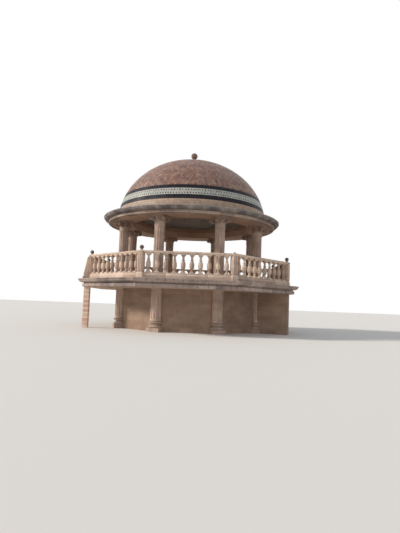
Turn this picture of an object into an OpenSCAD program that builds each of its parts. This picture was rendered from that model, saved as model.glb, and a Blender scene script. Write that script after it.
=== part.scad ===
// Open stone bandstand: an eight-sided lower room, a wide deck with a balustrade,
// eight fluted columns and a tiled dome on a round ring beam.
// Z is up, the ground is z = 0, the axis is x = y = 0 and the front side faces -Y.

/* [Plan] */
// Distance from the axis to each column centre, on both storeys
column_circle_r = 3800; // [3400:10:4200]

/* [Lower storey] */
// Height of the deck's underside above the ground
soffit_z = 2050; // [1850:10:2400]
// Thickness of the room walls
wall_t = 350; // [250:10:450]
// Diameter of a lower column over its arrises
lower_shaft_d = 530; // [460:10:600]
// Side of a lower column's square plinth
lower_plinth_w = 640; // [600:10:700]
// Height of a lower column's square plinth
lower_plinth_h = 190; // [120:10:260]
// Height of the round mouldings above the lower plinth
lower_base_h = 390; // [250:10:450]
// Side of the pier under the left front corner of the deck
pier_w = 280; // [220:10:320]
// Distance from the slab's corner in to the middle of that pier
pier_inset = 15; // [0:5:120]
// Thickness of the wing wall under the right front corner of the deck
wing_wall_t = 350; // [260:10:420]
// Distance from the slab's corner in to the outer end of that wing wall
wing_wall_inset = 30; // [0:10:300]

/* [Deck] */
// Thickness of the deck slab
slab_t = 397; // [300:1:480]
// Reach of the slab's corners past the column centres, behind the cornice stones
deck_reach = 1760; // [1500:10:2000]
// Height of the lower cornice course
lower_course_h = 150; // [110:10:180]
// Reach of the lower cornice course past the slab, at its corners
lower_course_reach = 253; // [200:1:300]
// Reach of the upper cornice course past the lower one, at its corners
upper_course_reach = 230; // [180:1:280]

/* [Balustrade] */
// Distance from the slab's corner in to the middle of a corner post
post_inset = 160; // [100:10:260]
// Side of a corner post
post_w = 300; // [280:5:400]
// Height of the base course under the balusters
kerb_h = 260; // [160:10:300]
// Width of the base course
kerb_w = 280; // [240:10:320]
// Height of a baluster with its square base and cap
baluster_h = 858; // [760:1:950]
// Diameter of a baluster at its belly
baluster_belly_d = 215; // [160:5:235]
// Side of a baluster's square base and cap
baluster_block_w = 225; // [180:5:240]
// Number of balusters on each side
balusters_per_side = 10; // [6:1:12]
// Distance from the end of a base stone to the middle of the first baluster
baluster_end_gap = 165; // [150:5:220]
// Height of the handrail
rail_h = 110; // [80:5:150]
// Width of the handrail
rail_w = 290; // [250:10:320]
// Diameter of the balls on the posts
post_ball_d = 195; // [150:5:260]

/* [Upper storey] */
// Height of the upper columns from the deck to the ring beam
upper_column_h = 3109; // [2800:1:3400]
// Diameter of an upper column over its arrises
upper_shaft_d = 490; // [420:10:560]
// Side of an upper column's square plinth
upper_plinth_w = 620; // [580:10:680]
// Height of an upper column's square plinth
upper_plinth_h = 130; // [80:10:200]
// Height of the round mouldings above the upper plinth
upper_base_h = 240; // [150:10:300]
// Number of flutes on each column
flutes = 12; // [8:1:16]
// Radius of a flute's groove
flute_r = 44; // [30:1:48]
// Height of a capital, from the neck to its top face
capital_h = 275; // [220:5:320]
// Side of a capital's square top slab
abacus_w = 740; // [660:10:820]
// Height of the plain neck under a capital
neck_h = 270; // [180:10:320]

/* [Roof] */
// Width of the ring beam inside the column centres
ring_in_reach = 570; // [500:10:700]
// Width of the ring beam outside the column centres, behind the cornice stones
ring_out_reach = 530; // [450:10:600]
// Height of the ring beam
ring_h = 329; // [280:1:380]
// Height of the lower roof cornice course
roof_lower_h = 125; // [90:5:160]
// Reach of the lower roof cornice course past the ring beam
roof_lower_reach = 254; // [200:1:300]
// Reach of the upper roof cornice course past the lower one
roof_upper_reach = 255; // [200:1:300]
// Height of the ring wall inside the foot of the dome
inner_ring_h = 215; // [150:5:300]
// Reach of the dome's outer face past the column centres, at its widest level
dome_reach = 280; // [200:10:350]
// Height of the dome from its widest level to its top
dome_rise = 3590; // [3300:10:3900]
// Depth of the dome's widest level under the top of the ring beam
dome_drop = 135; // [100:5:180]
// Thickness of the dome's shell
shell_t = 160; // [120:10:200]
// Thickness of the tiles on the shell
tile_t = 40; // [25:5:60]
// Height of the cream band above the ring beam
cream_band_h = 460; // [360:10:520]
// Height of the lower dark band
lower_dark_h = 215; // [150:5:260]
// Height of the patterned band
pattern_band_h = 335; // [260:5:400]
// Height of the upper dark band
upper_dark_h = 190; // [140:5:240]
// Radius of the round cap stone on top of the dome
cap_r = 300; // [240:10:360]
// Radius of the ball on top of the dome
finial_ball_r = 180; // [140:5:220]
// Height of the ball's centre above the top of the dome
finial_rise = 430; // [400:5:500]

/* [Hidden] */
$fn = 48;
joint_gap = 0.3;
sides = 8;
step = 360 / sides;
half_step = step / 2;

facet_names = ["front", "front_right", "right", "back_right", "back", "back_left", "left", "front_left"];
corner_names = ["front_right", "right_front", "right_back", "back_right",
                "back_left", "left_back", "left_front", "front_left"];
left_front_corner = 6;
right_front_corner = 1;
bare_post_corner = 0;

deck_z = soffit_z + slab_t;
kerb_top_z = deck_z + kerb_h;
rail_z = kerb_top_z + baluster_h;
rail_top_z = rail_z + rail_h;
// Height of the stub under a post's ball
ball_stub_h = 0.34 * post_ball_d;
beam_z = deck_z + upper_column_h;
beam_top_z = beam_z + ring_h;
dome_centre_z = beam_top_z - dome_drop;
dome_top_z = dome_centre_z + dome_rise;
slab_corner_r = column_circle_r + deck_reach;
lower_course_corner_r = slab_corner_r + lower_course_reach;
upper_course_corner_r = lower_course_corner_r + upper_course_reach;
pier_r = slab_corner_r - pier_inset;
wing_wall_end_r = slab_corner_r - wing_wall_inset;
post_circle_r = slab_corner_r - post_inset;
post_apothem = post_circle_r * cos(half_step);
ring_inner_r = column_circle_r - ring_in_reach;
ring_outer_r = column_circle_r + ring_out_reach;
roof_lower_r = ring_outer_r + roof_lower_reach;
roof_upper_r = roof_lower_r + roof_upper_reach;
dome_r = column_circle_r + dome_reach;
// Width of the slanted lower edge of a cornice course
course_chamfer = 12;
// Height of the sloping top of a cornice course's front band
fillet_chamfer = 8;

// Profile of the round base mouldings, as points of [radius, height]
function base_profile(shaft_r, foot_r, h, gap = 0) = concat(
    [[0, 0]],
    [for (a = [-90:22.5:90]) [foot_r - 0.16 * h + 0.16 * h * cos(a) + gap, 0.16 * h + 0.16 * h * sin(a)]],
    [for (a = [0:22.5:90]) [foot_r - 0.30 * h + 0.20 * h * (1 - sin(a)) + gap, 0.36 * h + 0.20 * h * (1 - cos(a))]],
    [for (a = [-90:22.5:90]) [shaft_r + 0.02 * h + 0.11 * h * cos(a) + gap, 0.67 * h + 0.11 * h * sin(a)]],
    [for (a = [0:30:90]) [shaft_r + 0.10 * h * (1 - sin(a)) + gap, 0.80 * h + 0.20 * h * (1 - cos(a))]],
    [[0, h]]
);

module at_corner(i, r) {
    rotate([0, 0, -90 + half_step + step * i]) translate([r, 0, 0]) children();
}

module at_facet(i, apothem) {
    rotate([0, 0, -90 + step * i]) translate([apothem, 0, 0]) children();
}

module octagon_ring(profile) {
    rotate([0, 0, half_step]) rotate_extrude($fn = sides) polygon(profile);
}

// Fluted shaft standing on z = 0, with round ended grooves
module fluted_shaft(d, h, groove_from, groove_to) {
    difference() {
        cylinder(d = d, h = h);
        for (k = [0:flutes - 1]) rotate([0, 0, 360 / flutes * (k + 0.5)]) translate([d / 2 + 0.25 * flute_r, 0, 0]) {
            translate([0, 0, groove_from]) cylinder(r = flute_r, h = groove_to - groove_from);
            translate([0, 0, groove_from]) sphere(r = flute_r);
            translate([0, 0, groove_to]) sphere(r = flute_r);
        }
    }
}

module lower_column_solid() {
    top_of_base = lower_plinth_h + lower_base_h;
    translate([-lower_plinth_w / 2, -lower_plinth_w / 2, 0]) cube([lower_plinth_w, lower_plinth_w, lower_plinth_h]);
    translate([0, 0, lower_plinth_h])
        rotate_extrude() polygon(base_profile(lower_shaft_d / 2, lower_plinth_w / 2, lower_base_h));
    translate([0, 0, top_of_base])
        fluted_shaft(lower_shaft_d, soffit_z - top_of_base, 2 * flute_r, soffit_z - top_of_base - 3 * flute_r);
}

// Space that a lower column takes out of the walls beside it
module lower_column_space() {
    w = lower_plinth_w + 2 * joint_gap;
    translate([-w / 2, -w / 2, -1]) cube([w, w, lower_plinth_h + 1 + joint_gap]);
    translate([0, 0, lower_plinth_h])
        rotate_extrude() polygon(base_profile(lower_shaft_d / 2, lower_plinth_w / 2, lower_base_h, joint_gap));
    cylinder(d = lower_shaft_d + 2 * joint_gap, h = soffit_z + 1);
}

module wall(i) {
    outer = column_circle_r * cos(half_step);
    half_w = column_circle_r * sin(half_step);
    color([0.55, 0.42, 0.36]) difference() {
        rotate([0, 0, -90 + step * i]) linear_extrude(soffit_z) polygon([
            [outer, -half_w + joint_gap],
            [outer, half_w - joint_gap],
            [outer - wall_t, half_w - joint_gap - wall_t * tan(half_step)],
            [outer - wall_t, -half_w + joint_gap + wall_t * tan(half_step)]
        ]);
        at_corner(i, column_circle_r) lower_column_space();
        at_corner(i - 1, column_circle_r) lower_column_space();
    }
}

module lower_columns() {
    color([0.60, 0.46, 0.38]) for (i = [0:sides - 1]) at_corner(i, column_circle_r) lower_column_solid();
}

module left_corner_pier() {
    color([0.80, 0.62, 0.50]) at_corner(left_front_corner, pier_r) rotate([0, 0, -half_step])
        translate([-pier_w / 2, -pier_w / 2, 0]) cube([pier_w, pier_w, soffit_z]);
}

module right_wing_wall() {
    color([0.45, 0.38, 0.34]) at_corner(right_front_corner, 0) difference() {
        translate([column_circle_r, -wing_wall_t / 2, 0])
            cube([wing_wall_end_r - column_circle_r, wing_wall_t, soffit_z]);
        translate([column_circle_r, 0, 0]) lower_column_space();
    }
}

module deck_slab() {
    color([0.62, 0.50, 0.42]) translate([0, 0, soffit_z]) rotate([0, 0, half_step])
        cylinder(r = slab_corner_r, h = slab_t, $fn = sides);
}

module deck_lower_cornice() {
    back = slab_corner_r;
    color([0.62, 0.50, 0.44]) octagon_ring([
        [back, soffit_z],
        [lower_course_corner_r - course_chamfer, soffit_z],
        [lower_course_corner_r, soffit_z + course_chamfer],
        [lower_course_corner_r, soffit_z + lower_course_h],
        [back, soffit_z + lower_course_h]
    ]);
}

module deck_upper_cornice() {
    back = slab_corner_r;
    recess_h = 60;
    recess_depth = 70;
    ovolo_foot = 60;
    ovolo_gap = 15;
    fillet_h = 55;
    fillet_reach = 40;
    foot_z = soffit_z + lower_course_h;
    recess_z = foot_z + recess_h;
    fillet_z = deck_z - fillet_h;
    ovolo_z = fillet_z - ovolo_gap;
    recess_r = lower_course_corner_r - recess_depth;
    ovolo_in_r = recess_r + ovolo_foot;
    ovolo_r = upper_course_corner_r - fillet_reach;
    color([0.50, 0.43, 0.40]) octagon_ring(concat(
        [[back, foot_z], [recess_r, foot_z], [recess_r, recess_z]],
        [for (a = [-90:18:0]) [
            ovolo_in_r + (ovolo_r - ovolo_in_r) * cos(a),
            ovolo_z + (ovolo_z - recess_z) * sin(a)
        ]],
        [
            [ovolo_r, fillet_z],
            [upper_course_corner_r, fillet_z + fillet_chamfer],
            [upper_course_corner_r, deck_z],
            [back, deck_z]
        ]
    ));
}

// Length of one side along the middle of its stones, from post centre to post centre, and between the posts
corner_span = 2 * post_apothem * tan(half_step);
side_len = corner_span - post_w / cos(half_step) - 2 * joint_gap;

// Stone along side i with one profile of [distance out, height], its ends cut to the faces of both posts
module side_stone(i, profile) {
    reach = post_w / 2 + joint_gap;
    difference() {
        at_facet(i, post_apothem) rotate([90, 0, 0]) translate([0, 0, -corner_span / 2])
            linear_extrude(corner_span) polygon(profile);
        at_corner(i, post_circle_r) translate([-post_w, -reach, deck_z - joint_gap])
            cube([2 * post_w, 2 * post_w, rail_top_z - deck_z + 2 * joint_gap]);
        at_corner(i - 1, post_circle_r) translate([-post_w, reach - 2 * post_w, deck_z - joint_gap])
            cube([2 * post_w, 2 * post_w, rail_top_z - deck_z + 2 * joint_gap]);
    }
}

module balustrade_base() {
    lip = 25;
    color([0.88, 0.75, 0.64]) for (i = [0:sides - 1]) side_stone(i, [
        [-kerb_w / 2, deck_z],
        [kerb_w / 2, deck_z],
        [kerb_w / 2, deck_z + 0.6 * kerb_h],
        [kerb_w / 2 - lip, deck_z + 0.75 * kerb_h],
        [kerb_w / 2 - lip, kerb_top_z],
        [-kerb_w / 2 + lip, kerb_top_z],
        [-kerb_w / 2 + lip, deck_z + 0.75 * kerb_h],
        [-kerb_w / 2, deck_z + 0.6 * kerb_h]
    ]);
}

// Vase shaped baluster standing on z = 0: a flared foot and head, an egg shaped belly and a bead over it
module baluster() {
    block_h = 0.055 * baluster_h;
    rim_h = 0.02 * baluster_h;
    ankle_z = 0.21 * baluster_h;
    belly_z = 0.42 * baluster_h;
    shoulder_z = 0.64 * baluster_h;
    bead_z = 0.67 * baluster_h;
    bead_h = 0.04 * baluster_h;
    flare_z = 0.74 * baluster_h;
    foot_z = block_h + rim_h;
    head_z = baluster_h - foot_z;
    belly = baluster_belly_d / 2;
    foot = 0.46 * baluster_block_w;
    neck = 0.44 * belly;
    bead = 0.72 * belly;
    for (z = [0, baluster_h - block_h]) translate([-baluster_block_w / 2, -baluster_block_w / 2, z])
        cube([baluster_block_w, baluster_block_w, block_h]);
    rotate_extrude($fn = 32) polygon(concat(
        [[0, block_h], [foot, block_h]],
        [for (a = [0:30:90]) [neck + (foot - neck) * (1 - sin(a)), foot_z + (ankle_z - foot_z) * (1 - cos(a))]],
        [for (a = [-72:18:0]) [neck + (belly - neck) * cos(a), belly_z + (belly_z - ankle_z) * sin(a)]],
        [for (a = [18:18:90]) [neck + (belly - neck) * cos(a), belly_z + (shoulder_z - belly_z) * sin(a)]],
        [[neck, bead_z], [bead, bead_z + 0.3 * bead_h], [bead, bead_z + 0.7 * bead_h], [neck, bead_z + bead_h]],
        [for (a = [90:-30:0]) [neck + (foot - neck) * (1 - sin(a)), head_z - (head_z - flare_z) * (1 - cos(a))]],
        [[foot, baluster_h - block_h], [0, baluster_h - block_h]]
    ));
}

module balusters(i) {
    pitch = (side_len - 2 * baluster_end_gap) / (balusters_per_side - 1);
    color([0.92, 0.78, 0.66]) for (k = [0:balusters_per_side - 1]) at_facet(i, post_apothem)
        translate([0, (k - (balusters_per_side - 1) / 2) * pitch, kerb_top_z]) baluster();
}

module handrail() {
    lip = 30;
    color([0.90, 0.78, 0.68]) for (i = [0:sides - 1]) side_stone(i, [
        [-rail_w / 2 + lip, rail_z],
        [rail_w / 2 - lip, rail_z],
        [rail_w / 2 - lip, rail_z + 0.2 * rail_h],
        [rail_w / 2, rail_z + 0.45 * rail_h],
        [rail_w / 2, rail_z + 0.8 * rail_h],
        [rail_w / 2 - 0.2 * rail_h, rail_top_z],
        [-rail_w / 2 + 0.2 * rail_h, rail_top_z],
        [-rail_w / 2, rail_z + 0.8 * rail_h],
        [-rail_w / 2, rail_z + 0.45 * rail_h],
        [-rail_w / 2 + lip, rail_z + 0.2 * rail_h]
    ]);
}

// Corner post with three reeds on each face, a moulded cap and the stub that carries a ball
module corner_post() {
    reeds = 3;
    reed_pitch = 0.26 * post_w;
    reed_r = 0.11 * post_w;
    core_w = post_w - 2 * reed_r;
    shaft_z = kerb_top_z;
    translate([-post_w / 2, -post_w / 2, deck_z]) cube([post_w, post_w, kerb_h]);
    translate([-core_w / 2, -core_w / 2, shaft_z]) cube([core_w, core_w, baluster_h]);
    for (q = [0:90:270]) rotate([0, 0, q]) for (k = [-1:reeds - 2])
        translate([core_w / 2, k * reed_pitch, shaft_z]) cylinder(r = reed_r, h = baluster_h, $fn = 24);
    translate([-post_w / 2, -post_w / 2, rail_z]) cube([post_w, post_w, rail_h]);
    translate([0, 0, rail_top_z]) cylinder(d1 = 0.8 * post_ball_d, d2 = 0.55 * post_ball_d, h = ball_stub_h);
}

module corner_posts() {
    color([0.86, 0.72, 0.60]) for (i = [0:sides - 1]) at_corner(i, post_circle_r) corner_post();
}

module post_balls() {
    color([0.55, 0.48, 0.42]) for (i = [0:sides - 1]) if (i != bare_post_corner) at_corner(i, post_circle_r)
        translate([0, 0, rail_top_z + ball_stub_h]) difference() {
            translate([0, 0, 0.42 * post_ball_d]) sphere(d = post_ball_d);
            translate([-post_ball_d, -post_ball_d, -post_ball_d]) cube([2 * post_ball_d, 2 * post_ball_d, post_ball_d]);
        }
}

// Scroll shaped stone that leans on the outer face of the left front post
module left_scroll_buttress() {
    foot = 270;
    head = 70;
    h = rail_z - deck_z;
    t = 200;
    eye_r = 75;
    color([0.93, 0.80, 0.70]) at_corner(left_front_corner, post_circle_r + post_w / 2 + joint_gap)
        translate([0, t / 2, deck_z]) rotate([90, 0, 0]) linear_extrude(t) union() {
            polygon(concat(
                [[0, 0], [foot - 0.4 * eye_r, 0]],
                [for (s = [0:0.125:1]) [head + (foot - head - 0.3 * eye_r) * pow(1 - s, 1.15), 2 * eye_r + (h - 2 * eye_r) * s]],
                [[0, h]]
            ));
            translate([foot - eye_r, eye_r]) circle(r = eye_r);
        }
}

// How far the plain neck stands out past the shaft, and the bead past the neck
neck_reach = 10;
bead_reach = 12;
neck_r = upper_shaft_d / 2 + neck_reach;

module upper_column(i) {
    bead_h = 40;
    bead_soft = 10;
    bead_r = neck_r + bead_reach;
    top_of_base = upper_plinth_h + upper_base_h;
    neck_z = upper_column_h - capital_h - neck_h;
    color([0.80, 0.64, 0.54]) at_corner(i, column_circle_r) translate([0, 0, deck_z]) {
        translate([-upper_plinth_w / 2, -upper_plinth_w / 2, 0]) cube([upper_plinth_w, upper_plinth_w, upper_plinth_h]);
        translate([0, 0, upper_plinth_h])
            rotate_extrude() polygon(base_profile(upper_shaft_d / 2, upper_plinth_w / 2, upper_base_h));
        translate([0, 0, top_of_base])
            fluted_shaft(upper_shaft_d, neck_z - top_of_base, 2 * flute_r, neck_z - top_of_base - 1.5 * flute_r);
        translate([0, 0, neck_z]) rotate_extrude() polygon([
            [0, 0],
            [bead_r - bead_soft, 0],
            [bead_r, bead_soft],
            [bead_r, bead_h - bead_soft],
            [neck_r, bead_h],
            [neck_r, neck_h],
            [0, neck_h]
        ]);
    }
}

// One face of the capital's flare, as half width against height
function flare(foot_w, head_w, h) = concat(
    [for (a = [0:15:90]) [foot_w + (head_w - foot_w) * (1 - cos(a)), h * sin(a)]],
    [for (a = [90:-15:0]) [-foot_w - (head_w - foot_w) * (1 - cos(a)), h * sin(a)]]
);

module capital() {
    slab_h = 0.26 * capital_h;
    bell_h = capital_h - slab_h;
    foot = neck_r;
    head = 0.46 * abacus_w;
    scroll_r = 0.36 * capital_h;
    scroll_w = 0.17 * abacus_w;
    scroll_reach = 0.6 * abacus_w;
    tuck = 0.1 * scroll_r;
    intersection() {
        rotate([90, 0, 0]) translate([0, 0, -abacus_w]) linear_extrude(2 * abacus_w) polygon(flare(foot, head, bell_h));
        rotate([90, 0, 90]) translate([0, 0, -abacus_w]) linear_extrude(2 * abacus_w) polygon(flare(foot, head, bell_h));
    }
    translate([0, 0, bell_h]) linear_extrude(slab_h) difference() {
        square(abacus_w, center = true);
        for (q = [0:90:270]) rotate(q) translate([abacus_w / 2 + 1.6 * abacus_w, 0]) circle(r = 1.65 * abacus_w, $fn = 96);
    }
    for (q = [45:90:315]) rotate([0, 0, q]) translate([scroll_reach, 0, bell_h + tuck - scroll_r])
        rotate([90, 0, 0]) translate([0, 0, -scroll_w / 2]) cylinder(r = scroll_r, h = scroll_w, $fn = 32);
}

module capitals() {
    color([0.66, 0.54, 0.46]) for (i = [0:sides - 1]) at_corner(i, column_circle_r)
        translate([0, 0, beam_z - capital_h]) capital();
}

module ring_beam() {
    color([0.66, 0.53, 0.44]) rotate_extrude($fn = 96) polygon([
        [ring_inner_r, beam_z],
        [ring_outer_r, beam_z],
        [ring_outer_r, beam_top_z],
        [ring_inner_r, beam_top_z]
    ]);
}

module roof_lower_cornice() {
    color([0.55, 0.46, 0.40]) rotate_extrude($fn = 96) polygon([
        [ring_outer_r, beam_z],
        [roof_lower_r - course_chamfer, beam_z],
        [roof_lower_r, beam_z + course_chamfer],
        [roof_lower_r, beam_z + roof_lower_h],
        [ring_outer_r, beam_z + roof_lower_h]
    ]);
}

module roof_upper_cornice() {
    recess_h = 25;
    recess_depth = 40;
    ovolo_foot = 60;
    ovolo_gap = 10;
    fillet_h = 60;
    fillet_reach = 35;
    foot_z = beam_z + roof_lower_h;
    recess_z = foot_z + recess_h;
    fillet_z = beam_top_z - fillet_h;
    ovolo_z = fillet_z - ovolo_gap;
    recess_r = roof_lower_r - recess_depth;
    ovolo_in_r = recess_r + ovolo_foot;
    ovolo_r = roof_upper_r - fillet_reach;
    color([0.42, 0.38, 0.37]) rotate_extrude($fn = 96) polygon(concat(
        [[ring_outer_r, foot_z], [recess_r, foot_z], [recess_r, recess_z]],
        [for (a = [-90:18:0]) [
            ovolo_in_r + (ovolo_r - ovolo_in_r) * cos(a),
            ovolo_z + (ovolo_z - recess_z) * sin(a)
        ]],
        [
            [ovolo_r, fillet_z],
            [roof_upper_r, fillet_z + fillet_chamfer],
            [roof_upper_r, beam_top_z],
            [ring_outer_r, beam_top_z]
        ]
    ));
}

module inner_ring() {
    face_r = ring_inner_r;
    clear_of_shell = 4;
    wall_back_r = dome_radius(tile_t + shell_t, beam_top_z + inner_ring_h) - clear_of_shell;
    lip = 55;
    lip_h = 70;
    color([0.70, 0.62, 0.52]) rotate_extrude($fn = 96) polygon([
        [face_r, beam_top_z],
        [wall_back_r, beam_top_z],
        [wall_back_r, beam_top_z + inner_ring_h],
        [face_r - lip, beam_top_z + inner_ring_h],
        [face_r - lip, beam_top_z + inner_ring_h - 0.5 * lip_h],
        [face_r, beam_top_z + inner_ring_h - lip_h]
    ]);
}

// Point of a dome surface that lies depth inside the outer one, at the height z over the ground
function dome_radius(depth, z) =
    (dome_r - depth) * sqrt(max(0, 1 - pow((z - dome_centre_z) / (dome_rise - depth), 2)));

// Zone of the dome between two depths and two heights, cut level at both ends
module dome_zone(out_depth, in_depth, z0, z1, steps) {
    inner_z1 = min(z1, dome_centre_z + dome_rise - in_depth);
    rotate_extrude($fn = 96) polygon(concat(
        [for (k = [0:steps]) let (z = z0 + (z1 - z0) * sin(90 * k / steps)) [dome_radius(out_depth, z), z]],
        [for (k = [steps:-1:0]) let (z = z0 + (inner_z1 - z0) * sin(90 * k / steps)) [dome_radius(in_depth, z), z]]
    ));
}

cream_z = beam_top_z + cream_band_h;
lower_dark_z = cream_z + lower_dark_h;
pattern_z = lower_dark_z + pattern_band_h;
upper_dark_z = pattern_z + upper_dark_h;
// Height at which the tile layer's outer face reaches the edge of the cap stone
cap_seat_z = dome_centre_z + dome_rise * sqrt(1 - pow(cap_r / dome_r, 2));
// Height of the cap stone's rim, and of its flat top above the top of the dome
cap_rim_h = 60;
cap_top_h = 70;

module dome_shell() {
    color([0.72, 0.70, 0.58]) rotate_extrude($fn = 96) polygon(concat(
        [for (k = [0:24]) let (z = beam_top_z + (dome_top_z - tile_t - beam_top_z) * sin(90 * k / 24)) [dome_radius(tile_t, z), z]],
        [for (k = [24:-1:0]) let (z = beam_top_z + (dome_top_z - tile_t - shell_t - beam_top_z) * sin(90 * k / 24)) [dome_radius(tile_t + shell_t, z), z]]
    ));
}

module dome_cream_band() {
    color([0.80, 0.70, 0.60]) dome_zone(0, tile_t, beam_top_z, cream_z, 4);
}

module dome_dark_bands() {
    color([0.14, 0.13, 0.18]) {
        dome_zone(0, tile_t, cream_z, lower_dark_z, 3);
        dome_zone(0, tile_t, pattern_z, upper_dark_z, 3);
    }
}

module dome_pattern_band() {
    color([0.70, 0.72, 0.70]) dome_zone(0, tile_t, lower_dark_z, pattern_z, 3);
}

module dome_tile_field() {
    color([0.60, 0.42, 0.38]) dome_zone(0, tile_t, upper_dark_z, cap_seat_z, 20);
}

module dome_cap() {
    color([0.55, 0.45, 0.40]) rotate_extrude() polygon([
        [0, dome_top_z - tile_t],
        [cap_r, cap_seat_z],
        [cap_r, cap_seat_z + cap_rim_h],
        [0.7 * cap_r, dome_top_z + cap_top_h],
        [0, dome_top_z + cap_top_h]
    ]);
}

module dome_finial() {
    finial_neck_r = 0.45 * finial_ball_r;
    color([0.45, 0.36, 0.32]) translate([0, 0, dome_top_z]) {
        translate([0, 0, cap_top_h]) cylinder(r = finial_neck_r, h = finial_rise - cap_top_h);
        translate([0, 0, finial_rise]) sphere(r = finial_ball_r);
    }
}

for (i = [0:sides - 1]) {
    wall(i);
    balusters(i);
    upper_column(i);
}
lower_columns();
left_corner_pier();
right_wing_wall();
deck_slab();
deck_lower_cornice();
deck_upper_cornice();
balustrade_base();
handrail();
corner_posts();
post_balls();
left_scroll_buttress();
capitals();
ring_beam();
roof_lower_cornice();
roof_upper_cornice();
inner_ring();
dome_shell();
dome_cream_band();
dome_dark_bands();
dome_pattern_band();
dome_tile_field();
dome_cap();
dome_finial();
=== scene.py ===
"""Looks of an open stone bandstand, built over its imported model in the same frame.

Lengths are metres, z is up, the ground is z = 0 and the front side faces -Y.
"""

import logging
import math
import random
from dataclasses import dataclass
from enum import Enum, IntEnum
from typing import ClassVar

import bmesh
import bpy
from mathutils import Matrix, Vector

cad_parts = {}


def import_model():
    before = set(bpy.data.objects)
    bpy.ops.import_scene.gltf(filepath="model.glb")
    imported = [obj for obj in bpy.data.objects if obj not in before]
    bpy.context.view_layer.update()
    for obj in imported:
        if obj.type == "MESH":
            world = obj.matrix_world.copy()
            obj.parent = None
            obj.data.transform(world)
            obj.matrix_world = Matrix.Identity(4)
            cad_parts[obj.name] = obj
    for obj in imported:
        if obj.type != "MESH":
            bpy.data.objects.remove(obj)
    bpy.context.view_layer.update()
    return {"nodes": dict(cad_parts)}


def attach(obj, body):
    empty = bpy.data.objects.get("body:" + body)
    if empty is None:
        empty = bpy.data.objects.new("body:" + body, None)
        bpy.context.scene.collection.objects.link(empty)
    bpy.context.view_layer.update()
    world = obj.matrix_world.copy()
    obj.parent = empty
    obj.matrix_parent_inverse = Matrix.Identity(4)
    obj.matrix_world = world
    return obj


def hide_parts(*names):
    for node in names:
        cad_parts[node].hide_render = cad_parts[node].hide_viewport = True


LOG = logging.getLogger("bandstand")

SIDES = 8
STEP = math.tau / SIDES
HALF_STEP = STEP / 2
FACETS = ("front", "front_right", "right", "back_right", "back", "back_left", "left", "front_left")
CORNERS = (
    "front_right", "right_front", "right_back", "back_right",
    "back_left", "left_back", "left_front", "front_left",
)
LEFT_FRONT_CORNER = 6
RIGHT_FRONT_CORNER = 1
BARE_POST_CORNER = 0
QUARTER = math.pi / 2
FRONT = -QUARTER
SHARP = math.radians(30)
TOUCH = 0.0003
COLUMN_CIRCLE = 3.8
DECK_FOOT = 2.05
DECK_TOP = 2.447

Rgb = tuple[int, int, int]
Colour = tuple[float, float, float, float]
Profile = list[tuple[float, float]]
Solid = bmesh.types.BMesh
Socket = bpy.types.NodeSocket
Sockets = bpy.types.NodeOutputs


class Seed(IntEnum):
    """Start of the random numbers of each piece, or of the first of a row of pieces."""

    WALLS = 100
    WALL_BEDS = 110
    LOWER_COLUMNS = 120
    PIER = 130
    PIER_CORE = 131
    WING = 140
    WING_CORE = 141
    DECK_LOWER = 210
    DECK_UPPER = 220
    FLAGS = 230
    DECK_BED = 231
    KERB = 300
    BALUSTERS = 310
    RAIL = 320
    POSTS = 330
    BALLS = 340
    SCROLL = 350
    UPPER_COLUMNS = 400
    CAPITALS = 420
    BEAM = 500
    ROOF_LOWER = 510
    ROOF_UPPER = 520
    ROOF_CORE = 530
    CROWN = 540
    CROWN_BALL = 541
    CREAM_TILES = 600
    DARK_TILES = 610
    LOZENGE_TILES = 620
    RED_TILES = 630


class Bond(Enum):
    """How far each row of stones or tiles is shifted against the row below."""

    STACKED = 0.0
    RUNNING = 0.5


def tint(screen: Rgb) -> Colour:
    """Turns a screen colour into a linear one.

    Args:
        screen: Red, green and blue part, 0 to 255.

    Returns:
        The linear colour with full alpha.
    """
    parts = []
    for part in screen:
        share = part / 255
        parts.append(share / 12.92 if share <= 0.04045 else ((share + 0.055) / 1.055) ** 2.4)
    return (parts[0], parts[1], parts[2], 1.0)


def facet_place(index: int) -> Matrix:
    """Turn that brings a piece made towards +X to the middle of a side."""
    return Matrix.Rotation(FRONT + STEP * index, 4, "Z")


def corner_place(index: int, reach: float = 0.0) -> Matrix:
    """Place of a piece made at the origin on the ray through a corner."""
    turn = Matrix.Rotation(FRONT + HALF_STEP + STEP * index, 4, "Z")
    return turn @ Matrix.Translation((reach, 0, 0))


def corner_places(reach: float) -> list[Matrix]:
    """Places of a piece made at the origin on the rays through all corners."""
    return [corner_place(index, reach) for index in range(SIDES)]


def polar(radius: float, angle: float, z: float) -> Vector:
    """Point at a distance and a turn from the z axis."""
    return Vector((radius * math.cos(angle), radius * math.sin(angle), z))


def elbow(
    centre: tuple[float, float], reach: float, rise: float, start: float, step: float, count: int
) -> Profile:
    """Points along a round or oval moulding of a profile.

    Args:
        centre: Middle of the oval, as (x, z).
        reach: Its half width.
        rise: Its half height.
        start: Angle of the first point from +X, in degrees.
        step: Angle from point to point, in degrees.
        count: Number of points.

    Returns:
        The points in order.
    """
    points = []
    for k in range(count):
        angle = math.radians(start + step * k)
        points.append((centre[0] + reach * math.cos(angle), centre[1] + rise * math.sin(angle)))
    return points


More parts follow.
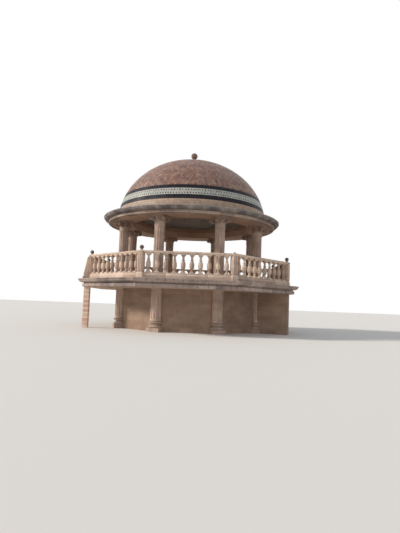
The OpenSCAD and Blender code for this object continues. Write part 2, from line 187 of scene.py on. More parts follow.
class Wiring:
    """Short way to place and join the nodes of one tree."""

    def __init__(self, tree: bpy.types.NodeTree) -> None:
        """Starts on a tree."""
        self.nodes = tree.nodes
        self.links = tree.links

    def add(self, kind: str, inputs: dict | None = None, **settings: object) -> bpy.types.Node:
        """Adds one node.

        Args:
            kind: The node's type name.
            inputs: Values or sockets for its inputs, by name or number.
            **settings: The node's own options.

        Returns:
            The new node.
        """
        node = self.nodes.new(kind)
        for option, value in settings.items():
            setattr(node, option, value)
        for key, value in (inputs or {}).items():
            self.feed(node.inputs[key], value)
        return node

    def feed(self, socket: Socket, value: object) -> None:
        """Links a socket to another one, or sets it to a value.

        Args:
            socket: The socket.
            value: Another socket, or a plain value.
        """
        if isinstance(value, Socket):
            self.links.new(value, socket)
        else:
            socket.default_value = value

    def math(self, operation: str, first: object, second: object = 0.0) -> Socket:
        """Result of a sum on one or two values."""
        node = self.add("ShaderNodeMath", {0: first, 1: second}, operation=operation)
        return node.outputs[0]

    def mix(self, share: object, first: object, second: object, blend: str = "MIX") -> Socket:
        """Colour mixed from two by a share."""
        inputs = {0: share, 6: first, 7: second}
        return self.add("ShaderNodeMix", inputs, data_type="RGBA", blend_type=blend).outputs[2]

    def noise(self, vector: object, scale: object, detail: float = 4.0, rough: float = 0.55) -> Socket:
        """Soft noise between 0 and 1."""
        inputs = {"Vector": vector, "Scale": scale, "Detail": detail, "Roughness": rough}
        return self.add("ShaderNodeTexNoise", inputs).outputs[0]

    def span(
        self, value: object, low: float, high: float, to_low: float = 0.0, to_high: float = 1.0
    ) -> Socket:
        """Value stretched from one range to another and held inside it."""
        node = self.add("ShaderNodeMapRange", {0: value, 1: low, 2: high, 3: to_low, 4: to_high}, clamp=True)
        return node.outputs[0]

    def ramp(self, share: object, stops: list[tuple[float, Colour]]) -> Socket:
        """Colour read from a row of stops.

        Args:
            share: Place on the row, 0 to 1.
            stops: Place and colour of each stop.

        Returns:
            The colour.
        """
        node = self.add("ShaderNodeValToRGB", {0: share})
        row = node.color_ramp
        while len(row.elements) < len(stops):
            row.elements.new(0.5)
        for element, (place, colour) in zip(row.elements, stops):
            element.position = place
            element.color = colour
        return node.outputs[0]


class EffectGroup:
    """Shader node group that is built once and placed in many materials."""

    name = ""
    inputs: dict[str, tuple[str, object]] = {}
    outputs: dict[str, str] = {}

    @classmethod
    def tree(cls) -> bpy.types.NodeTree:
        """Finds the group, or builds it the first time.

        Returns:
            The group's node tree.
        """
        found = bpy.data.node_groups.get(cls.name)
        if found:
            return found
        made = bpy.data.node_groups.new(cls.name, "ShaderNodeTree")
        for label, (kind, value) in cls.inputs.items():
            socket = made.interface.new_socket(label, in_out="INPUT", socket_type=kind)
            if value is not None:
                socket.default_value = value
        for label, kind in cls.outputs.items():
            made.interface.new_socket(label, in_out="OUTPUT", socket_type=kind)
        wiring = Wiring(made)
        enter = wiring.add("NodeGroupInput")
        leave = wiring.add("NodeGroupOutput")
        for label, socket in cls.wire(wiring, enter.outputs).items():
            wiring.feed(leave.inputs[label], socket)
        return made

    @classmethod
    def wire(cls, wiring: Wiring, given: Sockets) -> dict[str, Socket]:
        """Builds the nodes inside the group.

        Args:
            wiring: The group's wiring.
            given: The group's inputs.

        Returns:
            The socket for each output.
        """
        raise NotImplementedError

    @classmethod
    def place(cls, wiring: Wiring, inputs: dict | None = None) -> Sockets:
        """Places the group in a material and returns its outputs.

        Args:
            wiring: The material's wiring.
            inputs: Values or sockets for the group's inputs, by name.

        Returns:
            The outputs of the placed group.
        """
        node = wiring.add("ShaderNodeGroup", node_tree=cls.tree())
        for key, value in (inputs or {}).items():
            wiring.feed(node.inputs[key], value)
        return node.outputs


class StoneGrain(EffectGroup):
    """Cloudy tone and small pits of a soft volcanic stone."""

    name = "stone_grain"
    inputs = {"Vector": ("NodeSocketVector", None), "Scale": ("NodeSocketFloat", 3.0)}
    outputs = {"Tone": "NodeSocketFloat", "Height": "NodeSocketFloat"}

    @classmethod
    def wire(cls, wiring: Wiring, given: Sockets) -> dict[str, Socket]:
        """Builds clouds at two sizes, fine grain and round pits.

        Args:
            wiring: The group's wiring.
            given: The group's inputs.

        Returns:
            The tone and the height.
        """
        clouds = wiring.noise(given["Vector"], given["Scale"], 5.0)
        grain = wiring.noise(given["Vector"], wiring.math("MULTIPLY", given["Scale"], 14.0), 3.0, 0.7)
        cells = wiring.add(
            "ShaderNodeTexVoronoi",
            {"Vector": given["Vector"], "Scale": wiring.math("MULTIPLY", given["Scale"], 20.0)},
            feature="SMOOTH_F1",
        )
        pits = wiring.span(cells.outputs["Distance"], 0.05, 0.3)
        tone = wiring.math("ADD", wiring.math("MULTIPLY", clouds, 0.65), wiring.math("MULTIPLY", grain, 0.35))
        height = wiring.math("ADD", wiring.math("MULTIPLY", grain, 0.6), wiring.math("MULTIPLY", pits, 0.4))
        return {"Tone": tone, "Height": height}


class Weathering(EffectGroup):
    """Dirt and lichen: blotches, streaks that run down, and a crust on upward faces."""

    name = "weathering"
    inputs = {
        "Vector": ("NodeSocketVector", None),
        "Blotch": ("NodeSocketFloat", 0.4),
        "Streak": ("NodeSocketFloat", 0.3),
        "Crust": ("NodeSocketFloat", 0.5),
    }
    outputs = {"Dirt": "NodeSocketFloat", "Lichen": "NodeSocketFloat"}

    @classmethod
    def wire(cls, wiring: Wiring, given: Sockets) -> dict[str, Socket]:
        """Builds the blotches, the streaks and the crust.

        Args:
            wiring: The group's wiring.
            given: The group's inputs.

        Returns:
            The dirt and the lichen.
        """
        vector = given["Vector"]
        blotch = wiring.span(wiring.noise(vector, 1.1, 6.0, 0.65), 0.44, 0.66)
        stretch = {"Vector": vector, "Scale": (5.0, 5.0, 0.45)}
        long_way = wiring.add("ShaderNodeMapping", stretch, vector_type="POINT")
        streak = wiring.span(wiring.noise(long_way.outputs[0], 1.6, 4.0), 0.5, 0.68)
        normal = wiring.add("ShaderNodeNewGeometry").outputs["Normal"]
        upward = wiring.span(wiring.add("ShaderNodeSeparateXYZ", {0: normal}).outputs[2], 0.15, 0.8)
        patchy = wiring.span(wiring.noise(vector, 3.2, 5.0, 0.7), 0.3, 0.6)
        crust = wiring.math("MULTIPLY", wiring.math("MULTIPLY", upward, patchy), given["Crust"])
        dirt = wiring.math("MULTIPLY", blotch, given["Blotch"])
        dirt = wiring.math("MAXIMUM", dirt, wiring.math("MULTIPLY", streak, given["Streak"]))
        dirt = wiring.math("MAXIMUM", dirt, crust)
        lichen = wiring.span(wiring.noise(vector, 9.0, 4.0, 0.75), 0.62, 0.7)
        return {"Dirt": dirt, "Lichen": wiring.math("MULTIPLY", lichen, patchy)}


class PieceTone(EffectGroup):
    """Tone that differs from stone to stone, and the wear marked on their edges."""

    name = "piece_tone"
    inputs = {"Spread": ("NodeSocketFloat", 0.5)}
    outputs = {"Tone": "NodeSocketFloat", "Wear": "NodeSocketFloat"}

    @classmethod
    def wire(cls, wiring: Wiring, given: Sockets) -> dict[str, Socket]:
        """Reads the two marks that the pieces carry.

        Args:
            wiring: The group's wiring.
            given: The group's inputs.

        Returns:
            The stone's own tone and its wear.
        """
        tone = wiring.add("ShaderNodeAttribute", attribute_name="tone").outputs["Fac"]
        wear = wiring.add("ShaderNodeAttribute", attribute_name="edge").outputs["Fac"]
        centred = wiring.math("SUBTRACT", tone, 0.5)
        return {"Tone": wiring.math("MULTIPLY", centred, given["Spread"]), "Wear": wear}


class GlazeSurface(EffectGroup):
    """Uneven glaze: soft clouds, specks and a gentle waviness."""

    name = "glaze_surface"
    inputs = {"Vector": ("NodeSocketVector", None)}
    outputs = {"Cloud": "NodeSocketFloat", "Speck": "NodeSocketFloat", "Height": "NodeSocketFloat"}

    @classmethod
    def wire(cls, wiring: Wiring, given: Sockets) -> dict[str, Socket]:
        """Builds the clouds, the specks and the waves.

        Args:
            wiring: The group's wiring.
            given: The group's inputs.

        Returns:
            The clouds, the specks and the height.
        """
        cloud = wiring.noise(given["Vector"], 2.4, 4.0)
        speck = wiring.span(wiring.noise(given["Vector"], 60.0, 2.0, 0.8), 0.55, 0.75)
        wave = wiring.noise(given["Vector"], 22.0, 2.0)
        return {"Cloud": cloud, "Speck": speck, "Height": wave}


@dataclass(frozen=True)
class Finish:
    """Look of a piece, made as one material."""

    name: str
    slot: str

    def build(self) -> bpy.types.Material:
        """Builds the material.

        Returns:
            The new material.
        """
        material = bpy.data.materials.new(self.name)
        material.use_nodes = True
        wiring = Wiring(material.node_tree)
        self.wire(wiring, wiring.nodes["Principled BSDF"])
        return material

    def wire(self, wiring: Wiring, shader: bpy.types.Node) -> None:
        """Joins the finish's own nodes to the material's shader.

        Args:
            wiring: The material's wiring.
            shader: The material's shader.
        """
        raise NotImplementedError


@dataclass(frozen=True)
class StoneFinish(Finish):
    """Dressed stone with grain, a tone for each block, stains and worn edges."""

    pale: Rgb
    deep: Rgb
    stain: Rgb
    worn: Rgb
    blotch: float = 0.35
    streak: float = 0.3
    crust: float = 0.6
    lichen: float = 0.15
    grain: float = 3.0
    relief: float = 0.35
    roughness: float = 0.88
    spread: float = 0.6
    wear: float = 0.45

    def wire(self, wiring: Wiring, shader: bpy.types.Node) -> None:
        """Joins the grain, the tones, the stains and the worn edges.

        Args:
            wiring: The material's wiring.
            shader: The material's shader.
        """
        place = wiring.add("ShaderNodeTexCoord").outputs["Object"]
        grain = StoneGrain.place(wiring, {"Vector": place, "Scale": self.grain})
        piece = PieceTone.place(wiring, {"Spread": self.spread})
        age = Weathering.place(
            wiring, {"Vector": place, "Blotch": self.blotch, "Streak": self.streak, "Crust": self.crust}
        )
        share = wiring.span(wiring.math("ADD", grain["Tone"], piece["Tone"]), 0.25, 0.75)
        worn = tint(self.worn)
        colour = wiring.mix(share, tint(self.deep), tint(self.pale))
        colour = wiring.mix(wiring.math("MULTIPLY", piece["Wear"], self.wear), colour, worn)
        colour = wiring.mix(age["Dirt"], colour, tint(self.stain))
        colour = wiring.mix(wiring.math("MULTIPLY", age["Lichen"], self.lichen), colour, worn)
        wiring.feed(shader.inputs["Base Color"], colour)
        rough = wiring.span(grain["Tone"], 0.2, 0.8, self.roughness + 0.06, self.roughness - 0.08)
        wiring.feed(shader.inputs["Roughness"], rough)
        depths = {"Strength": self.relief, "Distance": 0.012, "Height": grain["Height"]}
        bump = wiring.add("ShaderNodeBump", depths)
        wiring.feed(shader.inputs["Normal"], bump.outputs[0])
        shader.inputs["Specular IOR Level"].default_value = 0.3


@dataclass(frozen=True)
class GlazeFinish(Finish):
    """Glazed tile whose colour differs from tile to tile."""

    stops: tuple[tuple[float, Rgb], ...]
    bloom: Rgb
    bloom_share: float = 0.35
    speck_share: float = 0.18
    roughness: float = 0.3
    coat: float = 0.25
    shine: float = 0.35
    painted: bool = False
    lattice: Rgb = (142, 144, 137)
    crossing: Rgb = (98, 102, 99)
    lozenge: Rgb = (22, 24, 28)

    def wire(self, wiring: Wiring, shader: bpy.types.Node) -> None:
        """Joins the glaze, its painting, and the bloom and specks on it.

        Args:
            wiring: The material's wiring.
            shader: The material's shader.
        """
        coordinates = wiring.add("ShaderNodeTexCoord")
        glaze = GlazeSurface.place(wiring, {"Vector": coordinates.outputs["Object"]})
        piece = PieceTone.place(wiring, {"Spread": 1.0})
        drift = wiring.math("MULTIPLY", wiring.math("SUBTRACT", glaze["Cloud"], 0.5), 0.6)
        share = wiring.math("ADD", wiring.math("ADD", piece["Tone"], 0.5), drift)
        bloom = tint(self.bloom)
        colour = wiring.ramp(share, [(place, tint(screen)) for place, screen in self.stops])
        if self.painted:
            colour = self.paint(wiring, coordinates.outputs["UV"], colour)
        age = Weathering.place(
            wiring, {"Vector": coordinates.outputs["Object"], "Blotch": 0.8, "Streak": 0.6, "Crust": 0.3}
        )
        colour = wiring.mix(wiring.math("MULTIPLY", age["Dirt"], self.bloom_share), colour, bloom)
        colour = wiring.mix(wiring.math("MULTIPLY", glaze["Speck"], self.speck_share), colour, bloom)
        wiring.feed(shader.inputs["Base Color"], colour)
        dull = wiring.math("MULTIPLY", age["Dirt"], 0.35)
        wiring.feed(shader.inputs["Roughness"], wiring.math("ADD", dull, self.roughness))
        bump = wiring.add("ShaderNodeBump", {"Strength": 0.12, "Distance": 0.004, "Height": glaze["Height"]})
        wiring.feed(shader.inputs["Normal"], bump.outputs[0])
        shader.inputs["Specular IOR Level"].default_value = self.shine
        shader.inputs["Coat Weight"].default_value = self.coat
        shader.inputs["Coat Roughness"].default_value = 0.25

    def paint(self, wiring: Wiring, place: Socket, ground: Socket) -> Socket:
        """Draws a dark lozenge on each tile, with a grey lattice round it that is darker at the corners.

        Args:
            wiring: The material's wiring.
            place: The tile's own UV place, 0 to 1 each way.
            ground: The tile's ground colour.

        Returns:
            The painted colour.
        """
        split = wiring.add("ShaderNodeSeparateXYZ", {0: place})
        across = wiring.math("ABSOLUTE", wiring.math("SUBTRACT", split.outputs[0], 0.5))
        along = wiring.math("ABSOLUTE", wiring.math("SUBTRACT", split.outputs[1], 0.5))
        reach = wiring.math("ADD", across, along)
        line = wiring.span(wiring.math("ABSOLUTE", wiring.math("SUBTRACT", reach, 0.56)), 0.045, 0.025)
        corner = wiring.span(reach, 0.82, 0.86)
        heart = wiring.span(reach, 0.38, 0.35)
        colour = wiring.mix(line, ground, tint(self.lattice))
        colour = wiring.mix(corner, colour, tint(self.crossing))
        return wiring.mix(heart, colour, tint(self.lozenge))


class Finishes:
    """All finishes of the bandstand, each built once."""

    balustrade = StoneFinish(
        "balustrade_stone", "baluster_stone",
        pale=(222, 197, 177), deep=(184, 157, 139), stain=(98, 82, 74), worn=(238, 214, 192),
        blotch=0.3, streak=0.32, crust=0.7, grain=3.5,
    )
    columns = StoneFinish(
        "fluted_stone", "column_stone",
        pale=(206, 180, 162), deep=(162, 138, 124), stain=(84, 71, 66), worn=(224, 198, 178),
        blotch=0.35, streak=0.4, crust=0.6, grain=2.4,
    )
    # Painted shade: the walls' stone is given a darker colour than the balustrade's, to stand for the shade
    # under the deck.
    walls = StoneFinish(
        "wall_ashlar_painted_shade", "wall_stone",
        pale=(166, 140, 120), deep=(142, 117, 99), stain=(88, 73, 64), worn=(178, 152, 134),
        blotch=0.3, streak=0.22, crust=0.3, grain=1.6, spread=0.35,
    )
    mortar = StoneFinish(
        "wall_mortar", "wall_stone",
        pale=(132, 112, 98), deep=(104, 88, 78), stain=(70, 58, 52), worn=(140, 120, 106),
        grain=6.0, spread=0.0,
    )
    pier = StoneFinish(
        "pier_stone", "pier_stone",
        pale=(236, 212, 190), deep=(220, 168, 146), stain=(120, 96, 82), worn=(240, 214, 192),
        blotch=0.2, streak=0.2, grain=3.0, spread=1.3,
    )
    deck = StoneFinish(
        "deck_flags", "deck_stone",
        pale=(188, 160, 138), deep=(148, 124, 107), stain=(92, 78, 70), worn=(202, 176, 156),
        blotch=0.4, streak=0.1, crust=0.35, grain=1.8,
    )
    # The deck cornice's stone is darker and greyer than the balustrade's, with strong stains, partly as
    # weathering and partly as painted shade on the cornice's front.
    cornice = StoneFinish(
        "deck_cornice_weathered_painted_shade", "cornice_stone",
        pale=(168, 149, 139), deep=(118, 105, 102), stain=(60, 56, 61), worn=(206, 184, 168),
        blotch=0.65, streak=0.6, crust=0.75, lichen=0.3, grain=2.2, spread=0.8,
    )
    roof_edge = StoneFinish(
        "roof_cornice_stone", "weathered_stone",
        pale=(142, 132, 127), deep=(104, 97, 97), stain=(60, 57, 62), worn=(194, 180, 168),
        blotch=0.5, streak=0.4, crust=0.85, lichen=0.5, grain=3.2, spread=1.0,
    )
    roof_foot = StoneFinish(
        "roof_lower_stone", "weathered_stone",
        pale=(172, 150, 135), deep=(134, 113, 101), stain=(78, 71, 70), worn=(206, 186, 170),
        blotch=0.3, streak=0.3, crust=0.85, lichen=0.3, grain=2.6, spread=0.8,
    )
    # The capitals' stone is darker than the shafts', partly as weathering and partly as painted shade under
    # the roof cornice.
    capitals = StoneFinish(
        "capital_weathered_painted_shade", "column_stone",
        pale=(178, 153, 136), deep=(132, 111, 99), stain=(72, 61, 58), worn=(212, 186, 166),
        blotch=0.45, streak=0.35, crust=0.6, grain=2.8, spread=0.5,
    )
    beam = StoneFinish(
        "beam_stone", "beam_stone",
        pale=(176, 144, 120), deep=(144, 116, 98), stain=(90, 74, 66), worn=(192, 162, 140),
        blotch=0.35, streak=0.1, crust=0.1, grain=1.5, spread=0.35,
    )
    ball = StoneFinish(
        "ball_stone", "ball_stone",
        pale=(164, 142, 128), deep=(120, 102, 92), stain=(58, 52, 52), worn=(196, 172, 154),
        blotch=0.6, streak=0.4, crust=0.8, grain=5.0,
    )
    plaster = StoneFinish(
        "dome_plaster", "dome_plaster",
        pale=(208, 200, 190), deep=(180, 172, 163), stain=(120, 111, 102), worn=(214, 206, 196),
        blotch=0.4, streak=0.3, crust=0.0, grain=1.2, relief=0.2, spread=0.0,
    )
    grout = StoneFinish(
        "tile_grout", "red_tile",
        pale=(98, 84, 80), deep=(70, 60, 58), stain=(48, 42, 42), worn=(112, 98, 92),
        grain=8.0, spread=0.0,
    )
    red_tile = GlazeFinish(
        "red_glazed_tile", "red_tile",
        stops=(
            (0.0, (80, 56, 50)), (0.2, (130, 82, 64)), (0.4, (104, 80, 74)),
            (0.6, (140, 102, 84)), (0.8, (124, 104, 94)), (1.0, (160, 122, 100)),
        ),
        bloom=(124, 110, 102), bloom_share=0.25, roughness=0.38, coat=0.06,
    )
    dark_tile = GlazeFinish(
        "dark_glazed_tile", "dark_tile",
        stops=((0.0, (10, 10, 16)), (0.6, (18, 16, 24)), (1.0, (32, 28, 36))),
        bloom=(58, 54, 60), bloom_share=0.1, roughness=0.34, coat=0.0, shine=0.16,
    )
    pattern_tile = GlazeFinish(
        "lozenge_glazed_tile", "pattern_tile",
        stops=((0.0, (172, 172, 163)), (0.5, (188, 186, 176)), (1.0, (204, 200, 188))),
        bloom=(136, 130, 122), bloom_share=0.2, roughness=0.34, coat=0.05, painted=True,
    )
    cream_tile = GlazeFinish(
        "cream_glazed_tile", "cream_tile",
        stops=((0.0, (158, 134, 115)), (0.5, (170, 145, 124)), (1.0, (181, 155, 133))),
        bloom=(128, 111, 100), bloom_share=0.18, roughness=0.45, coat=0.04,
    )

    made: ClassVar[dict[str, bpy.types.Material]] = {}

    @classmethod
    def material(cls, finish: Finish) -> bpy.types.Material:
        """Builds a finish the first time and finds it later.

        Args:
            finish: The finish.

        Returns:
            Its material.
        """
        if finish.name not in cls.made:
            cls.made[finish.name] = finish.build()
        return cls.made[finish.name]


class Block:
    """Ways to make one solid stone as a bmesh, and to finish its edges."""

    @staticmethod
    def box(size: tuple[float, float, float], centre: tuple[float, float, float]) -> Solid:
        """Plain box of a size round a centre.

        Args:
            size: Its size along x, y and z.
            centre: Its middle.

        Returns:
            The closed box.
        """
        block = bmesh.new()
        bmesh.ops.create_cube(block, size=1.0)
        bmesh.ops.scale(block, vec=size, verts=block.verts)
        bmesh.ops.translate(block, vec=centre, verts=block.verts)
        return block

    @staticmethod
    def parts(block: Solid) -> list[bmesh.types.BMVert | bmesh.types.BMEdge | bmesh.types.BMFace]:
        """All points, edges and faces of a stone."""
        return block.verts[:] + block.edges[:] + block.faces[:]

    @staticmethod
    def fresh(made: list, kind: type) -> list:
        """Those of the parts that an operator made that are of one kind."""
        return [part for part in made if isinstance(part, kind)]

    @staticmethod
    def thicken(block: Solid, along: Vector) -> None:
        """Draws a flat sheet out into a closed solid.

        Args:
            block: The sheet.
            along: How far and which way it is drawn.
        """
        made = bmesh.ops.extrude_face_region(block, geom=block.faces[:])["geom"]
        bmesh.ops.translate(block, vec=along, verts=Block.fresh(made, bmesh.types.BMVert))
        bmesh.ops.recalc_face_normals(block, faces=block.faces)

    @staticmethod
    def turn(block: Solid, angle: float, axis: str = "Z") -> None:
        """Turns a stone about an axis through the origin."""
        matrix = Matrix.Rotation(angle, 3, axis)
        bmesh.ops.rotate(block, cent=(0, 0, 0), matrix=matrix, verts=block.verts)

    @staticmethod
    def spin(
        block: Solid, parts: list, angle: float, steps: int, merge: bool = False,
        duplicate: bool = False,
    ) -> None:
        """Spins parts of a stone about the z axis.

        Args:
            block: The stone.
            parts: Its parts that are spun.
            angle: How far they turn.
            steps: Number of steps.
            merge: Whether the last step is joined to the first.
            duplicate: Whether the parts are copied instead of drawn out.
        """
        bmesh.ops.spin(
            block, geom=parts, cent=(0, 0, 0), axis=(0, 0, 1), dvec=(0, 0, 0), angle=angle, steps=steps,
            use_merge=merge, use_normal_flip=False, use_duplicate=duplicate,
        )

    @staticmethod
    def prism(profile: Profile, low: float, high: float) -> Solid:
        """Straight stone with one profile all along.

        Args:
            profile: Points as (x, z).
            low: Where it starts along y.
            high: Where it ends along y.

        Returns:
            The closed stone.
        """
        block = bmesh.new()
        block.faces.new([block.verts.new((x, low, z)) for x, z in profile])
        Block.thicken(block, Vector((0, high - low, 0)))
        return block

    @staticmethod
    def arc(profile: Profile, angle: float, steps: int) -> Solid:
        """Curved stone that runs round the z axis, centred on +X.

        Args:
            profile: Points as (radius, z).
            angle: How far it runs.
            steps: Number of flats along it.

        Returns:
            The closed stone.
        """
        block = bmesh.new()
        block.faces.new([block.verts.new((x, 0, z)) for x, z in profile])
        Block.spin(block, Block.parts(block), angle, steps)
        Block.turn(block, -angle / 2)
        bmesh.ops.recalc_face_normals(block, faces=block.faces)
        return block

    @staticmethod
    def turned(profile: Profile, steps: int) -> Solid:
        """Round piece turned about the z axis, closed at poles or as a ring.

        Args:
            profile: Points as (radius, z); a ring repeats its first point at the end.
            steps: Number of sides.

        Returns:
            The closed piece.
        """
        block = bmesh.new()
        line = [block.verts.new((x, 0, z)) for x, z in profile]
        for first, second in zip(line, line[1:]):
            block.edges.new((first, second))
        Block.spin(block, Block.parts(block), math.tau, steps, merge=True)
        bmesh.ops.remove_doubles(block, verts=block.verts, dist=1e-6)
        bmesh.ops.recalc_face_normals(block, faces=block.faces)
        return block

    @staticmethod
    def loft(rings: list[list[Vector]]) -> Solid:
        """Piece drawn out of one ring through the others, closed at both ends.

        Args:
            rings: Points of each ring, the same number in each, in the same order.

        Returns:
            The closed piece.
        """
        block = bmesh.new()
        bmesh.ops.create_circle(block, segments=len(rings[0]), radius=1.0, cap_ends=False)
        current = block.verts[:]
        edges = block.edges[:]
        for vert, point in zip(current, rings[0]):
            vert.co = point
        for ring in rings[1:]:
            made = bmesh.ops.extrude_edge_only(block, edges=edges)["geom"]
            current = Block.fresh(made, bmesh.types.BMVert)
            rim = set(current)
            edges = [edge for edge in Block.fresh(made, bmesh.types.BMEdge) if rim.issuperset(edge.verts)]
            for vert, point in zip(current, ring):
                vert.co = point
        Block.close(block)
        return block

    @staticmethod
    def close(block: Solid) -> None:
        """Fills open loops and turns all faces outwards."""
        bmesh.ops.holes_fill(block, edges=[edge for edge in block.edges if edge.is_boundary], sides=0)
        bmesh.ops.recalc_face_normals(block, faces=block.faces)

    @staticmethod
    def cut(block: Solid, point: Vector, outward: Vector) -> None:
        """Cuts off what lies beyond a plane and closes the cut.

        Args:
            block: The stone.
            point: A point of the plane.
            outward: The way from the plane to what goes.
        """
        bmesh.ops.bisect_plane(
            block, geom=Block.parts(block), dist=1e-6, plane_co=point, plane_no=outward,
            use_snap_center=False, clear_outer=True, clear_inner=False,
        )
        Block.close(block)

    @staticmethod
    def mitre(block: Solid, side: int, reach: float = 0.0) -> None:
        """Cuts a stone along the ray through a corner of its side of the octagon.

        Args:
            block: The stone, made towards +X.
            side: 1 for the corner towards +y, -1 for the one towards -y.
            reach: How far the cut stays away from the ray.
        """
        outward = Vector((-math.sin(HALF_STEP), side * math.cos(HALF_STEP), 0))
        Block.cut(block, -outward * reach, outward)

    @staticmethod
    def soften(block: Solid, width: float, segments: int = 1, wear: float = 0.0) -> None:
        """Bevels the sharp edges, marks them as worn, and keeps broad faces clean.

        Args:
            block: The stone.
            width: Width of the bevel.
            segments: Number of flats across it.
            wear: How far the wear reaches into a broad face; 0 leaves the faces whole.
        """
        mark = block.verts.layers.float.get("edge") or block.verts.layers.float.new("edge")
        sharp = [edge for edge in block.edges if len(edge.link_faces) == 2 and edge.calc_face_angle() > SHARP]
        made = bmesh.ops.bevel(
            block, geom=sharp, offset=width, offset_type="OFFSET", affect="EDGES",
            segments=segments, profile=0.5, material=-1, clamp_overlap=True,
        )
        for vert in made["verts"]:
            vert[mark] = 1.0
        if wear:
            broad = [face for face in block.faces if face.calc_area() > 1.3 * wear * face.calc_perimeter()]
            bmesh.ops.inset_individual(block, faces=broad, thickness=wear, use_even_offset=True)
            for face in broad:
                for vert in face.verts:
                    vert[mark] = 0.0


class Bin:
    """Gathers finished stones into one piece, each with its own tone."""

    def __init__(self, seed: int) -> None:
        """Starts an empty piece with its own row of random numbers."""
        self.mesh = bmesh.new()
        self.mesh.verts.layers.float.new("tone")
        self.mesh.verts.layers.float.new("edge")
        self.random = random.Random(seed)

    def add(
        self, block: Solid, places: list[Matrix] | Matrix | None = None,
        tone: float | None = None,
    ) -> None:
        """Puts copies of a stone into the piece and frees the stone.

        Args:
            block: The finished stone.
            places: Where its copies go; where it is, if none is given.
            tone: The tone of all copies; random if none is given.
        """
        if places is None or isinstance(places, Matrix):
            places = [places or Matrix.Identity(4)]
        mark = block.verts.layers.float.get("tone") or block.verts.layers.float.new("tone")
        data = bpy.data.meshes.new("stone")
        for place in places:
            value = self.random.random() if tone is None else tone
            for vert in block.verts:
                vert[mark] = value
            block.to_mesh(data)
            data.transform(place)
            self.mesh.from_mesh(data)
        bpy.data.meshes.remove(data)
        block.free()

    def shown(self, name: str, finish: Finish, *replaced: str) -> bpy.types.Object:
        """Turns the piece into an object that rides with the bandstand.

        Args:
            name: The object's name.
            finish: Its finish.
            *replaced: The model's nodes that it stands for.

        Returns:
            The new object.
        """
        data = bpy.data.meshes.new(name)
        self.mesh.to_mesh(data)
        self.mesh.free()
        data.polygons.foreach_set("use_smooth", [True] * len(data.polygons))
        data.set_sharp_from_angle(angle=SHARP)
        data.materials.append(Finishes.material(finish))
        piece = bpy.data.objects.new(name, data)
        bpy.context.scene.collection.objects.link(piece)
        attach(piece, "root")
        if replaced:
            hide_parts(*replaced)
        triangles = sum(len(face.vertices) - 2 for face in data.polygons)
        LOG.info("%s: %d triangles, finish %s", name, triangles, finish.name)
        return piece


def dress(node: bpy.types.Object, finish: Finish) -> None:
    """Gives a node of the model its finish.

    Args:
        node: The node.
        finish: Its new finish.
    """
    node.data.materials.clear()
    node.data.materials.append(Finishes.material(finish))
    LOG.info("%s: model's own shape, finish %s", node.name, finish.name)


@dataclass(frozen=True)
class SideRun:
    """Run of straight stones along a side of the octagon, mitred at both corners."""

    profile: Profile
    half: float
    ends: float
    count: int
    sway: float
    joint: float
    mitre: float

    def stones(self, source: random.Random) -> list[Solid]:
        """Cuts the stones of one side, with joints a little off their regular places.

        Args:
            source: The random numbers of the piece.

        Returns:
            The stones, made towards +X.
        """
        step = 2 * self.half / self.count
        breaks = [-self.ends]
        for k in range(1, self.count):
            breaks.append(-self.half + k * step + source.uniform(-self.sway, self.sway))
        breaks.append(self.ends)
        blocks = []
        for low, high in zip(breaks, breaks[1:]):
            block = Block.prism(self.profile, low + self.joint / 2, high - self.joint / 2)
            if low == -self.ends:
                Block.mitre(block, -1, self.mitre)
            if high == self.ends:
                Block.mitre(block, 1, self.mitre)
            blocks.append(block)
        return blocks


@dataclass(frozen=True)
class CorniceOutline:
    """Outlines of a cornice of two courses: a plain one, and a moulded one that stands out over it."""

    back_r: float
    lower_r: float
    upper_r: float
    foot_z: float
    lower_h: float
    top_z: float
    recess_h: float
    recess_depth: float
    fillet_h: float
    fillet_gap: float
    overhang: float
    chamfer: float = 0.012
    ovolo_depth: float = 0.06
    fillet_chamfer: float = 0.008

    def lower(self) -> Profile:
        """Outline of the plain lower course.

        Returns:
            The points in order, as (radius, z).
        """
        head = self.foot_z + self.lower_h
        return [
            (self.back_r, self.foot_z),
            (self.lower_r - self.chamfer, self.foot_z),
            (self.lower_r, self.foot_z + self.chamfer),
            (self.lower_r, head),
            (self.back_r, head),
        ]

    def upper(self) -> Profile:
        """Outline of the moulded upper course: recess, bulging ovolo and top band.

        Returns:
            The points in order, as (radius, z).
        """
        foot = self.foot_z + self.lower_h
        recess_r = self.lower_r - self.recess_depth
        recess_z = foot + self.recess_h
        fillet_z = self.top_z - self.fillet_h
        ovolo_z = fillet_z - self.fillet_gap
        ovolo_r = self.upper_r - self.overhang
        inner = recess_r + self.ovolo_depth
        return [
            (self.back_r, foot),
            (recess_r, foot),
            (recess_r, recess_z),
            *elbow((inner, ovolo_z), ovolo_r - inner, ovolo_z - recess_z, -90, 15, 7),
            (ovolo_r, fillet_z),
            (self.upper_r, fillet_z + self.fillet_chamfer),
            (self.upper_r, self.top_z),
            (self.back_r, self.top_z),
        ]


